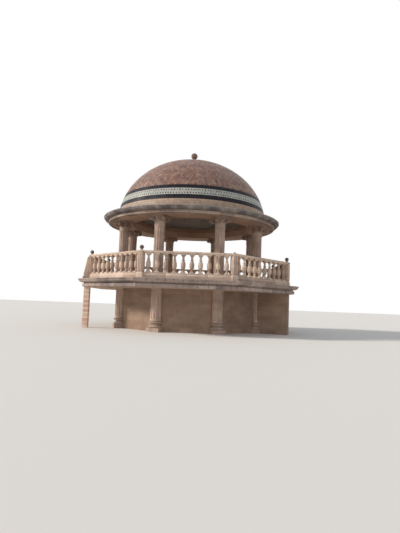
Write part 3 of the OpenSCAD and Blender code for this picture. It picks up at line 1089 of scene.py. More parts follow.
@dataclass
class FlutedColumn:
    """Column with a square plinth, round base mouldings and a fluted shaft."""

    foot_z: float
    top_z: float
    shaft_r: float
    plinth_w: float
    plinth_h: float
    base_h: float
    flutes: int = 12
    flute_r: float = 0.044
    groove_foot: float = 0.088
    groove_head: float = 0.066

    def base_profile(self) -> Profile:
        """Outline of the two round mouldings and the hollow between them.

        Returns:
            The points in order, as (radius, z).
        """
        h = self.base_h
        foot = self.plinth_w / 2
        r = self.shaft_r
        low = self.foot_z + self.plinth_h
        points = [(0.0, 0.0)]
        points += elbow((foot - 0.16 * h, 0.16 * h), 0.16 * h, 0.16 * h, -90, 22.5, 9)
        points += elbow((foot - 0.19 * h, 0.56 * h), 0.11 * h, 0.20 * h, -90, -18, 6)
        points += elbow((r + 0.02 * h, 0.67 * h), 0.11 * h, 0.11 * h, -90, 22.5, 9)
        points += elbow((r + 0.10 * h, h), 0.10 * h, 0.20 * h, -90, -22.5, 5)
        points.append((0.0, h))
        return [(x, z + low) for x, z in points]

    def ring(self, z: float, groove: float) -> list[Vector]:
        """Points of the shaft's outline at one height.

        Args:
            z: The height.
            groove: Radius of the grooves there, 0 where there is none.

        Returns:
            The points, anticlockwise.
        """
        centre = self.shaft_r + 0.25 * self.flute_r
        reach = max(groove, centre - self.shaft_r + 1e-5)
        cosine = (self.shaft_r ** 2 + centre ** 2 - reach ** 2) / (2 * self.shaft_r * centre)
        half = math.acos(min(1.0, cosine))
        pitch = math.tau / self.flutes
        points = []
        for flute in range(self.flutes):
            middle = pitch * (flute + 0.5)
            for share in (-1.0, -0.9, -0.65, -0.35, 0.0, 0.35, 0.65, 0.9, 1.0):
                off = share * half
                inside = max(0.0, reach ** 2 - (centre * math.sin(off)) ** 2)
                radius = min(self.shaft_r, centre * math.cos(off) - math.sqrt(inside))
                points.append(polar(radius, middle + off, z))
            for share in (0.35, 0.65):
                points.append(polar(self.shaft_r, middle + half + share * (pitch - 2 * half), z))
        return points

    def shaft(self) -> Solid:
        """Shaft with round-ended grooves.

        Returns:
            The closed shaft.
        """
        low = self.foot_z + self.plinth_h + self.base_h
        start = low + self.groove_foot
        end = self.top_z - self.groove_head
        shares = (0.968, 0.9, 0.75, 0.5, 0.0)
        rings = [self.ring(low, 0.0)]
        for share in shares:
            rings.append(self.ring(start - share * self.flute_r, self.flute_r * math.sqrt(1 - share ** 2)))
        for share in reversed(shares):
            rings.append(self.ring(end + share * self.flute_r, self.flute_r * math.sqrt(1 - share ** 2)))
        rings.append(self.ring(self.top_z, 0.0))
        return Block.loft(rings)

    def build(self, stones: Bin, places: list[Matrix]) -> None:
        """Puts a column at each place.

        Args:
            stones: The piece that takes them.
            places: Where their axes stand.
        """
        size = (self.plinth_w, self.plinth_w, self.plinth_h)
        plinth = Block.box(size, (0, 0, self.foot_z + self.plinth_h / 2))
        Block.soften(plinth, width=0.008, segments=2, wear=0.03)
        stones.add(plinth, places, tone=0.4)
        stones.add(Block.turned(self.base_profile(), steps=48), places, tone=0.5)
        stones.add(self.shaft(), places, tone=0.6)


@dataclass
class LowerStorey:
    """Closed room of coursed ashlar with a fluted column at each corner."""

    column_circle: float = COLUMN_CIRCLE
    soffit_z: float = DECK_FOOT
    wall_t: float = 0.35
    courses: int = 9
    block_length: float = 0.62
    block_sway: float = 0.05
    shortest: float = 0.12
    joint: float = 0.005
    recess: float = 0.005
    pier_w: float = 0.28
    pier_r: float = 5.545
    pier_courses: int = 18
    pale_tone: float = 0.8
    red_tone: float = 0.38
    pier_tone_sway: float = 0.22
    wing_t: float = 0.35
    wing_end: float = 5.53

    def coursed(
        self, stones: Bin, depth: tuple[float, float], width: tuple[float, float], place: Matrix,
        mitre: bool = False,
    ) -> None:
        """Lays a wall of coursed blocks in running bond.

        Args:
            stones: The piece that takes the blocks.
            depth: Inner and outer face along x.
            width: Both ends along y.
            place: Where the wall stands.
            mitre: Whether its ends are cut towards the axis of the building.
        """
        height = self.soffit_z / self.courses
        span = width[1] - width[0]
        count = max(1, round(span / self.block_length))
        for course in range(self.courses):
            shift = Bond.RUNNING.value if course % 2 else Bond.STACKED.value
            breaks = [width[0]]
            for k in range(count + 1):
                sway = stones.random.uniform(-self.block_sway, self.block_sway)
                place_y = width[0] + (k + shift) * span / count + sway
                if width[0] + self.shortest < place_y < width[1] - self.shortest:
                    breaks.append(place_y)
            breaks.append(width[1])
            for low, high in zip(breaks, breaks[1:]):
                proud = stones.random.uniform(0.0, 0.003)
                size = (depth[1] - depth[0] - 2 * proud, high - low - self.joint, height - self.joint)
                centre = ((depth[0] + depth[1]) / 2, (low + high) / 2, (course + 0.5) * height)
                block = Block.box(size, centre)
                if mitre and low == width[0]:
                    Block.mitre(block, -1)
                if mitre and high == width[1]:
                    Block.mitre(block, 1)
                Block.soften(block, width=0.004, wear=0.022)
                stones.add(block, place)

    def walls(self) -> None:
        """Builds the eight wall panels, each with its mortar bed."""
        outer = self.column_circle * math.cos(HALF_STEP)
        half = self.column_circle * math.sin(HALF_STEP)
        for index, facet in enumerate(FACETS):
            stones = Bin(Seed.WALLS + index)
            self.coursed(stones, (outer - self.wall_t, outer), (-half, half), facet_place(index), True)
            stones.shown(f"wall_courses_{facet}", Finishes.walls, f"wall_{facet}")
        beds = Bin(Seed.WALL_BEDS)
        size = (self.wall_t - 2 * self.recess, 2 * half, self.soffit_z - 2 * self.recess)
        for index in range(SIDES):
            bed = Block.box(size, (outer - self.wall_t / 2, 0, self.soffit_z / 2))
            for side in (-1, 1):
                Block.mitre(bed, side)
            beds.add(bed, facet_place(index))
        beds.shown("wall_mortar_beds", Finishes.mortar)

    def columns(self) -> None:
        """Builds the eight engaged columns."""
        column = FlutedColumn(
            foot_z=0.0, top_z=self.soffit_z, shaft_r=0.265, plinth_w=0.64, plinth_h=0.19, base_h=0.39,
            groove_head=0.132,
        )
        stones = Bin(Seed.LOWER_COLUMNS)
        column.build(stones, corner_places(self.column_circle))
        stones.shown("lower_column_set", Finishes.columns, "lower_columns")

    def core(self, name: str, seed: Seed, size: tuple[float, float], middle_y: float, place: Matrix) -> None:
        """Fills the joints of a pier or a free wall with mortar.

        Args:
            name: The new piece's name.
            seed: Start of its random numbers.
            size: Its size along x and y.
            middle_y: Its middle along y.
            place: Where it stands.
        """
        mortar = Bin(seed)
        full = (*size, self.soffit_z - 2 * self.recess)
        mortar.add(Block.box(full, (0, middle_y, self.soffit_z / 2)), place)
        mortar.shown(name, Finishes.mortar)

    def pier(self) -> None:
        """Builds the slender coursed pier under the left front corner."""
        stones = Bin(Seed.PIER)
        height = self.soffit_z / self.pier_courses
        place = corner_place(LEFT_FRONT_CORNER, self.pier_r) @ Matrix.Rotation(-HALF_STEP, 4, "Z")
        for course in range(self.pier_courses):
            width = self.pier_w - 2 * stones.random.uniform(0.0, 0.004)
            block = Block.box((width, width, height - self.joint), (0, 0, (course + 0.5) * height))
            Block.soften(block, width=0.006, segments=2, wear=0.018)
            tone = self.red_tone if course % 2 else self.pale_tone
            sway = stones.random.uniform(-self.pier_tone_sway, self.pier_tone_sway)
            stones.add(block, place, tone + sway)
        stones.shown("pier_courses", Finishes.pier, "left_corner_pier")
        width = self.pier_w - 0.016
        self.core("pier_mortar", Seed.PIER_CORE, (width, width), 0, place)

    def wing_wall(self) -> None:
        """Builds the radial wall under the right front corner."""
        stones = Bin(Seed.WING)
        start = self.column_circle + 0.1
        place = corner_place(RIGHT_FRONT_CORNER) @ Matrix.Rotation(-QUARTER, 4, "Z")
        half = self.wing_t / 2
        self.coursed(stones, (-half, half), (start, self.wing_end), place)
        stones.shown("wing_wall_courses", Finishes.walls, "right_wing_wall")
        size = (self.wing_t - 2 * self.recess, self.wing_end - start - 2 * self.recess)
        self.core("wing_wall_mortar", Seed.WING_CORE, size, (start + self.wing_end) / 2, place)

    def build(self) -> None:
        """Builds the whole lower storey."""
        self.walls()
        self.columns()
        self.pier()
        self.wing_wall()


@dataclass
class Deck:
    """Octagonal deck with flagstones and two cornice courses of single blocks."""

    soffit_z: float = DECK_FOOT
    top_z: float = DECK_TOP
    slab_r: float = 5.56
    lower_r: float = 5.813
    upper_r: float = 6.043
    lower_h: float = 0.15
    blocks_per_side: int = 5
    joint: float = 0.006
    flag: float = 0.62
    flag_t: float = 0.05
    bed_depth: float = 0.008

    def cornice(self, name: str, profile: Profile, seed: Seed) -> None:
        """Builds one cornice course, with blocks mitred at the corners.

        Args:
            name: The model's node that it replaces.
            profile: Points as (corner distance, z).
            seed: Start of its random numbers.
        """
        stones = Bin(seed)
        flat = [(x * math.cos(HALF_STEP), z) for x, z in profile]
        half = max(x for x, _ in profile) * math.sin(HALF_STEP)
        run = SideRun(
            flat, half=half, ends=half + 0.1, count=self.blocks_per_side, sway=0.09,
            joint=self.joint, mitre=self.joint / 2,
        )
        for index in range(SIDES):
            for block in run.stones(stones.random):
                Block.soften(block, width=0.005)
                slip = Matrix.Translation((-stones.random.uniform(0.0, 0.004), 0, 0))
                stones.add(block, facet_place(index) @ slip)
        stones.shown(f"{name}_blocks", Finishes.cornice, name)

    def flags(self, stones: Bin, low: float, high: float) -> None:
        """Lays square slabs over the octagon, cut along its sides.

        Args:
            stones: The piece that takes them.
            low: Their underside.
            high: Their top.
        """
        reach = self.slab_r * math.cos(HALF_STEP)
        count = math.ceil(reach / self.flag)
        for row in range(-count, count):
            shift = self.flag * (Bond.RUNNING.value if row % 2 else Bond.STACKED.value)
            for column in range(-count - 1, count + 1):
                along = column * self.flag + shift + self.flag / 2
                centre = Vector((along, (row + 0.5) * self.flag, (low + high) / 2))
                if math.hypot(centre.x, centre.y) > self.slab_r + self.flag:
                    continue
                side = self.flag - self.joint
                block = Block.box((side, side, high - low), tuple(centre))
                for index in range(SIDES):
                    outward = facet_place(index) @ Vector((1, 0, 0))
                    if block.verts and outward.dot(centre) > reach - self.flag:
                        Block.cut(block, outward * reach, outward)
                if len(block.verts) < 6:
                    block.free()
                    continue
                Block.soften(block, width=0.004)
                stones.add(block)

    def slab(self) -> None:
        """Builds the bed, the flagstones on it and the stones of its underside."""
        stones = Bin(Seed.FLAGS)
        self.flags(stones, self.top_z - self.flag_t, self.top_z)
        self.flags(stones, self.soffit_z, self.soffit_z + self.flag_t)
        stones.shown("deck_flagstones", Finishes.deck, "deck_slab")
        bed = Bin(Seed.DECK_BED)
        low = self.soffit_z + self.bed_depth
        high = self.top_z - self.bed_depth
        octagon = [(0.0, low), (self.slab_r, low), (self.slab_r, high), (0.0, high)]
        bed.add(Block.turned(octagon, SIDES), Matrix.Rotation(HALF_STEP, 4, "Z"))
        bed.shown("deck_bed", Finishes.mortar)

    def build(self) -> None:
        """Builds the whole deck."""
        self.slab()
        outline = CorniceOutline(
            back_r=self.slab_r, lower_r=self.lower_r, upper_r=self.upper_r,
            foot_z=self.soffit_z, lower_h=self.lower_h, top_z=self.top_z,
            recess_h=0.06, recess_depth=0.07, fillet_h=0.055, fillet_gap=0.015, overhang=0.04,
        )
        self.cornice("deck_lower_cornice", outline.lower(), Seed.DECK_LOWER)
        self.cornice("deck_upper_cornice", outline.upper(), Seed.DECK_UPPER)


@dataclass
class Balustrade:
    """Base course, turned balusters, handrail, reeded corner posts and balls."""

    deck_z: float = DECK_TOP
    circle: float = 5.4
    post_w: float = 0.3
    kerb_h: float = 0.26
    kerb_w: float = 0.28
    baluster_h: float = 0.858
    belly_r: float = 0.1075
    block_w: float = 0.225
    per_side: int = 10
    end_gap: float = 0.165
    rail_h: float = 0.11
    rail_w: float = 0.29
    ball_d: float = 0.195
    reed_end: float = 0.05
    joint: float = 0.004

    @property
    def apothem(self) -> float:
        """Distance from the axis to the middle of a side."""
        return self.circle * math.cos(HALF_STEP)

    @property
    def corner_span(self) -> float:
        """Length of a side from post centre to post centre."""
        return 2 * self.apothem * math.tan(HALF_STEP)

    @property
    def side_len(self) -> float:
        """Length of a side's middle line between two posts."""
        return self.corner_span - self.post_w / math.cos(HALF_STEP) - 2 * TOUCH

    @property
    def kerb_z(self) -> float:
        """Top of the base course."""
        return self.deck_z + self.kerb_h

    @property
    def stub_h(self) -> float:
        """Height of the stub under a ball."""
        return 0.34 * self.ball_d

    @property
    def rail_z(self) -> float:
        """Underside of the handrail."""
        return self.kerb_z + self.baluster_h

    @property
    def rail_top(self) -> float:
        """Top of the handrail."""
        return self.rail_z + self.rail_h

    @property
    def reed_r(self) -> float:
        """Radius of a reed."""
        return 0.11 * self.post_w

    @property
    def reed_pitch(self) -> float:
        """Distance from reed to reed."""
        return 0.26 * self.post_w

    def course(self, name: str, profile: Profile, lengths: int, seed: Seed) -> None:
        """Builds a course of straight stones along all eight sides.

        Args:
            name: The model's node that it replaces.
            profile: Points as (x, z) round the course's centre line.
            lengths: Number of stones on each side.
            seed: Start of its random numbers.
        """
        stones = Bin(seed)
        stone = [(x + self.apothem, z) for x, z in profile]
        run = SideRun(
            stone, half=self.side_len / 2, ends=self.corner_span / 2, count=lengths, sway=0.04,
            joint=self.joint, mitre=self.post_w / 2 + TOUCH,
        )
        for index in range(SIDES):
            for block in run.stones(stones.random):
                Block.soften(block, width=0.006, segments=2, wear=0.02)
                stones.add(block, facet_place(index))
        stones.shown(f"{name}_stones", Finishes.balustrade, name)

    def kerb_profile(self) -> Profile:
        """Outline of the base course, set back towards its top.

        Returns:
            The points, as (x, z).
        """
        half = self.kerb_w / 2
        lip = 0.025
        low = self.deck_z
        outer = [
            (half, low),
            (half, low + 0.6 * self.kerb_h),
            (half - 0.4 * lip, low + 0.64 * self.kerb_h),
            (half - lip, low + 0.75 * self.kerb_h),
            (half - lip, self.kerb_z),
        ]
        return outer + [(-x, z) for x, z in reversed(outer)]

    def rail_profile(self) -> Profile:
        """Outline of the rounded handrail.

        Returns:
            The points, as (x, z).
        """
        half = self.rail_w / 2
        h = self.rail_h
        low = self.rail_z
        outer = [
            (half - 0.03, low), (half - 0.03, low + 0.2 * h), (half - 0.01, low + 0.3 * h),
            (half, low + 0.45 * h), (half, low + 0.8 * h), (half - 0.09 * h, low + 0.93 * h),
            (half - 0.25 * h, low + h),
        ]
        return outer + [(-x, z) for x, z in reversed(outer)]

    def vase_profile(self) -> Profile:
        """Outline of a turned baluster: flared foot, egg shaped belly, bead and flared head.

        Returns:
            The points in order, as (radius, z).
        """
        h = self.baluster_h
        belly = self.belly_r
        foot = 0.46 * self.block_w
        neck = 0.42 * belly
        bead = 0.77 * belly
        low = foot - 0.006
        high = foot - 0.004
        return [
            (0.0, 0.05 * h), (foot, 0.05 * h), (foot + 0.003, 0.062 * h), (foot, 0.073 * h),
            *elbow((low, 0.195 * h), low - neck, 0.117 * h, -105, -15, 6),
            (neck + 0.007, 0.197 * h), (neck + 0.009, 0.204 * h), (neck + 0.004, 0.212 * h),
            *elbow((neck, 0.42 * h), belly - neck, 0.21 * h, -75, 15, 11),
            (neck + 0.004, 0.636 * h), (neck, 0.652 * h), (neck, 0.664 * h), (bead - 0.006, 0.669 * h),
            (bead, 0.682 * h), (bead, 0.696 * h), (bead - 0.006, 0.707 * h), (neck + 0.002, 0.712 * h),
            (neck, 0.73 * h),
            *elbow((high, 0.74 * h), high - neck, 0.182 * h, 165, -15, 6),
            (foot, 0.928 * h), (foot + 0.003, 0.938 * h), (foot, 0.95 * h), (0.0, 0.95 * h),
        ]

    def balusters(self) -> None:
        """Builds a row of balusters on each side."""
        pitch = (self.side_len - 2 * self.end_gap) / (self.per_side - 1)
        block_h = 0.055 * self.baluster_h
        for index, facet in enumerate(FACETS):
            stones = Bin(Seed.BALUSTERS + index)
            places = []
            for k in range(self.per_side):
                shift = Matrix.Translation((self.apothem, (k - (self.per_side - 1) / 2) * pitch, self.kerb_z))
                turn = Matrix.Rotation(stones.random.uniform(-0.04, 0.04), 4, "Z")
                places.append(facet_place(index) @ shift @ turn)
            tones = [stones.random.random() for _ in places]
            for place, tone in zip(places, tones):
                stones.add(Block.turned(self.vase_profile(), steps=24), place, tone)
                for low in (0.0, self.baluster_h - block_h):
                    block = Block.box((self.block_w, self.block_w, block_h), (0, 0, low + block_h / 2))
                    Block.soften(block, width=0.007, segments=2)
                    stones.add(block, place, tone)
            stones.shown(f"turned_balusters_{facet}", Finishes.balustrade, f"balusters_{facet}")

    def square_stack(self, outline: Profile) -> Solid:
        """Square moulded stone.

        Args:
            outline: Half width and height of each level.

        Returns:
            The closed stone.
        """
        rings = []
        for half, z in outline:
            rings.append([Vector((half * x, half * y, z)) for x, y in ((1, 1), (-1, 1), (-1, -1), (1, -1))])
        block = Block.loft(rings)
        Block.soften(block, width=0.006, segments=2, wear=0.02)
        return block

    def post_base(self) -> Solid:
        """Square base of a corner post, set back towards its top.

        Returns:
            The closed base.
        """
        half = self.post_w / 2
        top = self.kerb_z
        return self.square_stack([
            (half, self.deck_z), (half, top - 0.06), (half - 0.012, top - 0.045), (half - 0.02, top - 0.012),
            (half - 0.02, top),
        ])

    def post_cap(self) -> Solid:
        """Moulded cap of a corner post, as high as the handrail.

        Returns:
            The closed cap.
        """
        half = self.post_w / 2
        foot = self.rail_z
        top = self.rail_top
        return self.square_stack([
            (half - 0.03, foot), (half - 0.03, foot + 0.015), (half - 0.008, foot + 0.03),
            (half, foot + 0.045), (half, top - 0.022), (half - 0.012, top - 0.006), (half - 0.03, top),
        ])

    def reed_profile(self) -> Profile:
        """Outline of a reed with round ends.

        Returns:
            The points in order, as (radius, z).
        """
        low = self.kerb_z + self.reed_end
        high = self.rail_z - self.reed_end
        foot = [(0.0, low - 0.9 * self.reed_r)]
        foot += elbow((0.0, low), self.reed_r, 0.9 * self.reed_r, -67.5, 22.5, 4)
        return foot + [(x, high + low - z) for x, z in reversed(foot)]

    def ball_seat(self) -> Solid:
        """Round stub that carries a ball.

        Returns:
            The closed stub.
        """
        low = self.rail_top
        rise = self.stub_h
        foot = 0.4 * self.ball_d
        head = 0.275 * self.ball_d
        return Block.turned([
            (0.0, low), (foot, low), (foot, low + 0.2 * rise), (foot - 0.008, low + 0.26 * rise),
            (head + 0.006, low + 0.6 * rise), (head, low + 0.78 * rise), (head, low + rise),
            (0.0, low + rise),
        ], steps=24)

    def posts(self) -> None:
        """Builds the reeded corner posts with their moulded bases and caps."""
        core = self.post_w - 2 * self.reed_r
        stones = Bin(Seed.POSTS)
        places = corner_places(self.circle)
        stones.add(self.post_base(), places)
        middle = Block.box((core, core, self.baluster_h), (0, 0, self.kerb_z + self.baluster_h / 2))
        stones.add(middle, places, tone=0.4)
        for quarter in range(4):
            turn = Matrix.Rotation(quarter * QUARTER, 4, "Z")
            for k in (-1, 0, 1):
                place = turn @ Matrix.Translation((core / 2, k * self.reed_pitch, 0))
                reed = Block.turned(self.reed_profile(), steps=16)
                stones.add(reed, [corner @ place for corner in places], tone=0.6)
        stones.add(self.post_cap(), places)
        stones.add(self.ball_seat(), places, tone=0.5)
        stones.shown("reeded_posts", Finishes.balustrade, "corner_posts")

    def balls(self) -> None:
        """Builds the balls; the right front post has lost its own."""
        seat = self.rail_top + self.stub_h
        radius = self.ball_d / 2
        centre = seat + 0.42 * self.ball_d
        steps = 14
        start = math.degrees(math.acos(0.84))
        arc = elbow((0.0, centre), radius, radius, start - 90, (180 - start) / steps, steps)
        stones = Bin(Seed.BALLS)
        places = [corner_place(index, self.circle) for index in range(SIDES) if index != BARE_POST_CORNER]
        stones.add(Block.turned([(0.0, seat), *arc, (0.0, centre + radius)], steps=32), places)
        stones.shown("stone_balls", Finishes.ball, "post_balls")

    def scroll(self) -> None:
        """Builds the scroll stone that leans on the left front post."""
        foot = 0.27
        head = 0.07
        eye = 0.075
        thick = 0.2
        low = self.deck_z
        height = self.rail_z - low
        steps = 12
        face = [(0.0, low)]
        face += elbow((foot - eye, low + eye), eye, eye, -90, 22.5, 9)
        for k in range(1, steps + 1):
            climb = k / steps
            reach = head + (foot - head - 0.3 * eye) * (1 - climb) ** 1.15
            face.append((reach, low + 2 * eye + (height - 2 * eye) * climb))
        face.append((0.0, self.rail_z))
        stone = Block.prism(face, -thick / 2, thick / 2)
        Block.soften(stone, width=0.008, segments=2)
        stones = Bin(Seed.SCROLL)
        place = corner_place(LEFT_FRONT_CORNER, self.circle + self.post_w / 2 + TOUCH)
        stones.add(stone, place, tone=0.6)
        button = [
            (0.0, 0.0), (0.055, 0.0), (0.055, 0.008), (0.045, 0.014), (0.03, 0.008), (0.022, 0.012),
            (0.0, 0.016),
        ]
        for side in (-1, 1):
            shift = Matrix.Translation((foot - eye, side * thick / 2, low + eye))
            turn = Matrix.Rotation(-side * QUARTER, 4, "X")
            stones.add(Block.turned(button, steps=24), place @ shift @ turn, tone=0.6)
        stones.shown("scroll_stone", Finishes.balustrade, "left_scroll_buttress")

    def build(self) -> None:
        """Builds the whole balustrade."""
        self.course("balustrade_base", self.kerb_profile(), 4, Seed.KERB)
        self.balusters()
        self.course("handrail", self.rail_profile(), 3, Seed.RAIL)
        self.posts()
        self.balls()
        self.scroll()


@dataclass
class UpperStorey:
    """Eight fluted columns on the deck, with flared capitals."""

    deck_z: float = DECK_TOP
    circle: float = COLUMN_CIRCLE
    height: float = 3.109
    shaft_r: float = 0.245
    capital_h: float = 0.275
    abacus_w: float = 0.74
    neck_h: float = 0.27

    @property
    def scroll_r(self) -> float:
        """Radius of a corner scroll."""
        return 0.36 * self.capital_h

    @property
    def scroll_w(self) -> float:
        """Width of a corner scroll."""
        return 0.17 * self.abacus_w

    @property
    def scroll_reach(self) -> float:
        """Distance from the column's axis to the middle of a corner scroll."""
        return 0.6 * self.abacus_w

    @property
    def top_z(self) -> float:
        """Top of the capitals."""
        return self.deck_z + self.height

    @property
    def capital_z(self) -> float:
        """Foot of the capitals."""
        return self.top_z - self.capital_h

    @property
    def neck_z(self) -> float:
        """Foot of the plain neck."""
        return self.capital_z - self.neck_h

    @property
    def bell_h(self) -> float:
        """Height of the bell under the top slab."""
        return 0.74 * self.capital_h

    def neck_profile(self) -> Profile:
        """Outline of the plain neck, with a bead at its foot and a finer one at its top.

        Returns:
            The points in order, as (radius, z).
        """
        r = self.shaft_r
        low = self.neck_z
        high = self.capital_z
        return [
            (0.0, low), (r + 0.010, low), (r + 0.020, low + 0.006), (r + 0.024, low + 0.018),
            (r + 0.020, low + 0.030), (r + 0.010, low + 0.036), (r + 0.010, high - 0.03),
            (r + 0.016, high - 0.024), (r + 0.020, high - 0.014), (r + 0.016, high - 0.004),
            (r + 0.010, high), (0.0, high),
        ]

    def columns(self) -> None:
        """Builds each column with its plain neck."""
        column = FlutedColumn(
            foot_z=self.deck_z, top_z=self.neck_z, shaft_r=self.shaft_r, plinth_w=0.62, plinth_h=0.13,
            base_h=0.24,
        )
        for index, corner in enumerate(CORNERS):
            stones = Bin(Seed.UPPER_COLUMNS + index)
            place = corner_place(index, self.circle)
            column.build(stones, [place])
            stones.add(Block.turned(self.neck_profile(), steps=48), place, tone=0.5)
            stones.shown(f"fluted_column_{corner}", Finishes.columns, f"upper_column_{corner}")

    def bell(self) -> Solid:
        """Bell that widens from the round neck to the square top slab.

        Returns:
            The closed bell.
        """
        foot = self.shaft_r + 0.01
        half = 0.43 * self.abacus_w
        squareness = 0.75
        sides = 48
        levels = 7
        rings = []
        for k in range(levels + 1):
            lean = k / levels * QUARTER
            ring = []
            for n in range(sides):
                a = math.tau * n / sides
                square = 1 / max(abs(math.cos(a)), abs(math.sin(a)))
                flat = half * (1 + (square - 1) * squareness)
                radius = foot + (flat - foot) * (1 - math.cos(lean))
                ring.append(polar(radius, a, self.capital_z + self.bell_h * math.sin(lean)))
            rings.append(ring)
        return Block.loft(rings)

    def slab(self) -> Solid:
        """Top slab with hollow sides and cut corners.

        Returns:
            The closed slab.
        """
        half = self.abacus_w / 2
        low = self.capital_z + self.bell_h
        high = self.top_z
        hollow = 0.045
        cut = 0.03
        outline = []
        for quarter in range(4):
            turn = Matrix.Rotation(quarter * QUARTER, 3, "Z")
            for k in range(-6, 7):
                share = k / 6
                outline.append(turn @ Vector((half - hollow * (1 - share ** 2), share * (half - cut), 0)))
        edge = ((0.93, low), (0.95, low + 0.012), (0.985, low + 0.028), (1.0, low + 0.036), (1.0, high))
        rings = []
        for grow, z in edge:
            rings.append([Vector((p.x * grow, p.y * grow, z)) for p in outline])
        return Block.loft(rings)

    def leaf(self, width: float, height: float, curl: float) -> Solid:
        """Broad leaf that stands against the bell and curls out at its tip.

        Args:
            width: Its width at the foot.
            height: Its height.
            curl: How far its tip leans out.

        Returns:
            The closed leaf, standing at the origin and leaning towards +X.
        """
        block = bmesh.new()
        bmesh.ops.create_grid(block, x_segments=6, y_segments=8, size=0.5)
        for vert in block.verts:
            across = 2 * vert.co.x
            up = vert.co.y + 0.5
            lobe = 1 - 0.12 * abs(math.sin(up * math.pi * 3.5))
            reach = width / 2 * lobe * (1 - 0.75 * up ** 3)
            lean = curl * up ** 2.4
            drop = 0.16 * height * max(0.0, up - 0.8) / 0.2
            rib = 0.006 * (1 - abs(across))
            vert.co = Vector((lean + rib - 0.012 * across ** 2, across * reach, up * height - drop))
        bmesh.ops.recalc_face_normals(block, faces=block.faces)
        bmesh.ops.solidify(block, geom=block.faces[:], thickness=0.014)
        bmesh.ops.recalc_face_normals(block, faces=block.faces)
        return block

    def volute(self) -> Solid:
        """Drum of a corner scroll, with a hollow face and an eye on both sides, lying along y.

        Returns:
            The closed drum.
        """
        r = self.scroll_r
        w = self.scroll_w / 2
        side = [
            (0.0, w + 0.006), (0.1 * r, w + 0.006), (0.2 * r, w + 0.001), (0.22 * r, w - 0.012),
            (0.84 * r, w - 0.012), (0.88 * r, w), (0.97 * r, w), (r, w - 0.006),
        ]
        profile = [(x, -z) for x, z in side]
        profile += [(0.985 * r, -0.5 * w), (0.955 * r, -0.2 * w), (0.955 * r, 0.2 * w), (0.985 * r, 0.5 * w)]
        profile += list(reversed(side))
        block = Block.turned(profile, steps=32)
        Block.turn(block, QUARTER, "X")
        return block

    def spiral(self, side: int) -> Solid:
        """Raised spiral band on one face of a corner scroll.

        Args:
            side: 1 or -1 for the face towards +y or -y.

        Returns:
            The closed band.
        """
        r = self.scroll_r
        face = side * (self.scroll_w / 2 - 0.012)
        start = math.radians(100)
        turns = 1.9
        steps = 34
        rings = []
        for k in range(steps + 1):
            share = k / steps
            angle = start - share * math.tau * turns
            middle = r * (0.86 - 0.66 * share ** 0.8)
            width = r * (0.085 - 0.045 * share)
            height = 0.011 - 0.002 * share
            ring = []
            for across, up in ((-1, 0), (-0.7, 1), (0.7, 1), (1, 0)):
                reach = middle + across * width
                y = face + side * up * height
                ring.append(Vector((reach * math.cos(angle), y, reach * math.sin(angle))))
            rings.append(ring)
        return Block.loft(rings)

    def bracket(self) -> Solid:
        """Thick leaf that leans out from the neck towards +X and carries a corner scroll.

        Returns:
            The closed leaf.
        """
        start = self.shaft_r + 0.014
        end = self.scroll_reach - 0.4 * self.scroll_r
        section = (
            (-1.0, 0.06), (-0.8, 0.012), (-0.3, 0.004), (0.0, 0.0),
            (0.3, 0.004), (0.8, 0.012), (1.0, 0.06), (0.0, 0.09),
        )
        steps = 8
        rings = []
        for k in range(steps + 1):
            lean = k / steps * QUARTER
            reach = start + (end - start) * (1 - math.cos(lean))
            z = self.capital_z - 0.085 + 0.105 * math.sin(lean)
            half = 0.045 + 0.02 * math.sin(2 * lean)
            ring = []
            for across, back in section:
                ring.append(Vector((reach - back * math.cos(lean), half * across, z + back * math.sin(lean))))
            rings.append(ring)
        return Block.loft(rings)

    def rosette(self) -> Solid:
        """Small flower with eight petals, facing +X.

        Returns:
            The closed flower.
        """
        radius = 0.05
        petals = 8
        dent = 0.14
        sides = 4 * petals
        steps = ((1.0, 0.0), (1.0, 0.014), (0.8, 0.026), (0.4, 0.018), (0.3, 0.03), (0.12, 0.036))
        rings = []
        for share, depth in steps:
            lobed = dent if share > 0.35 else 0.0
            ring = []
            for k in range(sides):
                a = math.tau * k / sides
                reach = radius * share * (1 + lobed * math.cos(petals * a))
                ring.append(Vector((depth, reach * math.cos(a), reach * math.sin(a))))
            rings.append(ring)
        return Block.loft(rings)

    def capitals(self) -> None:
        """Builds the eight capitals with leaves, corner scrolls and a rosette on each face."""
        stones = Bin(Seed.CAPITALS)
        places = corner_places(self.circle)
        stones.add(self.bell(), places, tone=0.35)
        stones.add(self.slab(), places, tone=0.5)
        eye_z = self.capital_z + self.bell_h - 0.9 * self.scroll_r
        eye = Matrix.Translation((self.scroll_reach, 0, eye_z))
        foot = Matrix.Translation((self.shaft_r + 0.004, 0, self.capital_z))
        middle = Matrix.Translation((self.abacus_w / 2 - 0.052, 0, self.top_z - 0.075))
        for k in range(8):
            turned = [place @ Matrix.Rotation(k * QUARTER / 2, 4, "Z") for place in places]
            if k % 2:
                eyes = [place @ eye for place in turned]
                stones.add(self.volute(), eyes, tone=0.6)
                for side in (-1, 1):
                    stones.add(self.spiral(side), eyes, tone=0.8)
                stones.add(self.bracket(), turned, tone=0.7)
            else:
                leaf = self.leaf(0.2, 0.6 * self.capital_h, 0.065)
                stones.add(leaf, [place @ foot for place in turned], tone=0.7)
                stones.add(self.rosette(), [place @ middle for place in turned], tone=0.8)
        stones.shown("leaf_capitals", Finishes.capitals, "capitals")

    def build(self) -> None:
        """Builds the whole upper storey."""
        self.columns()
        self.capitals()


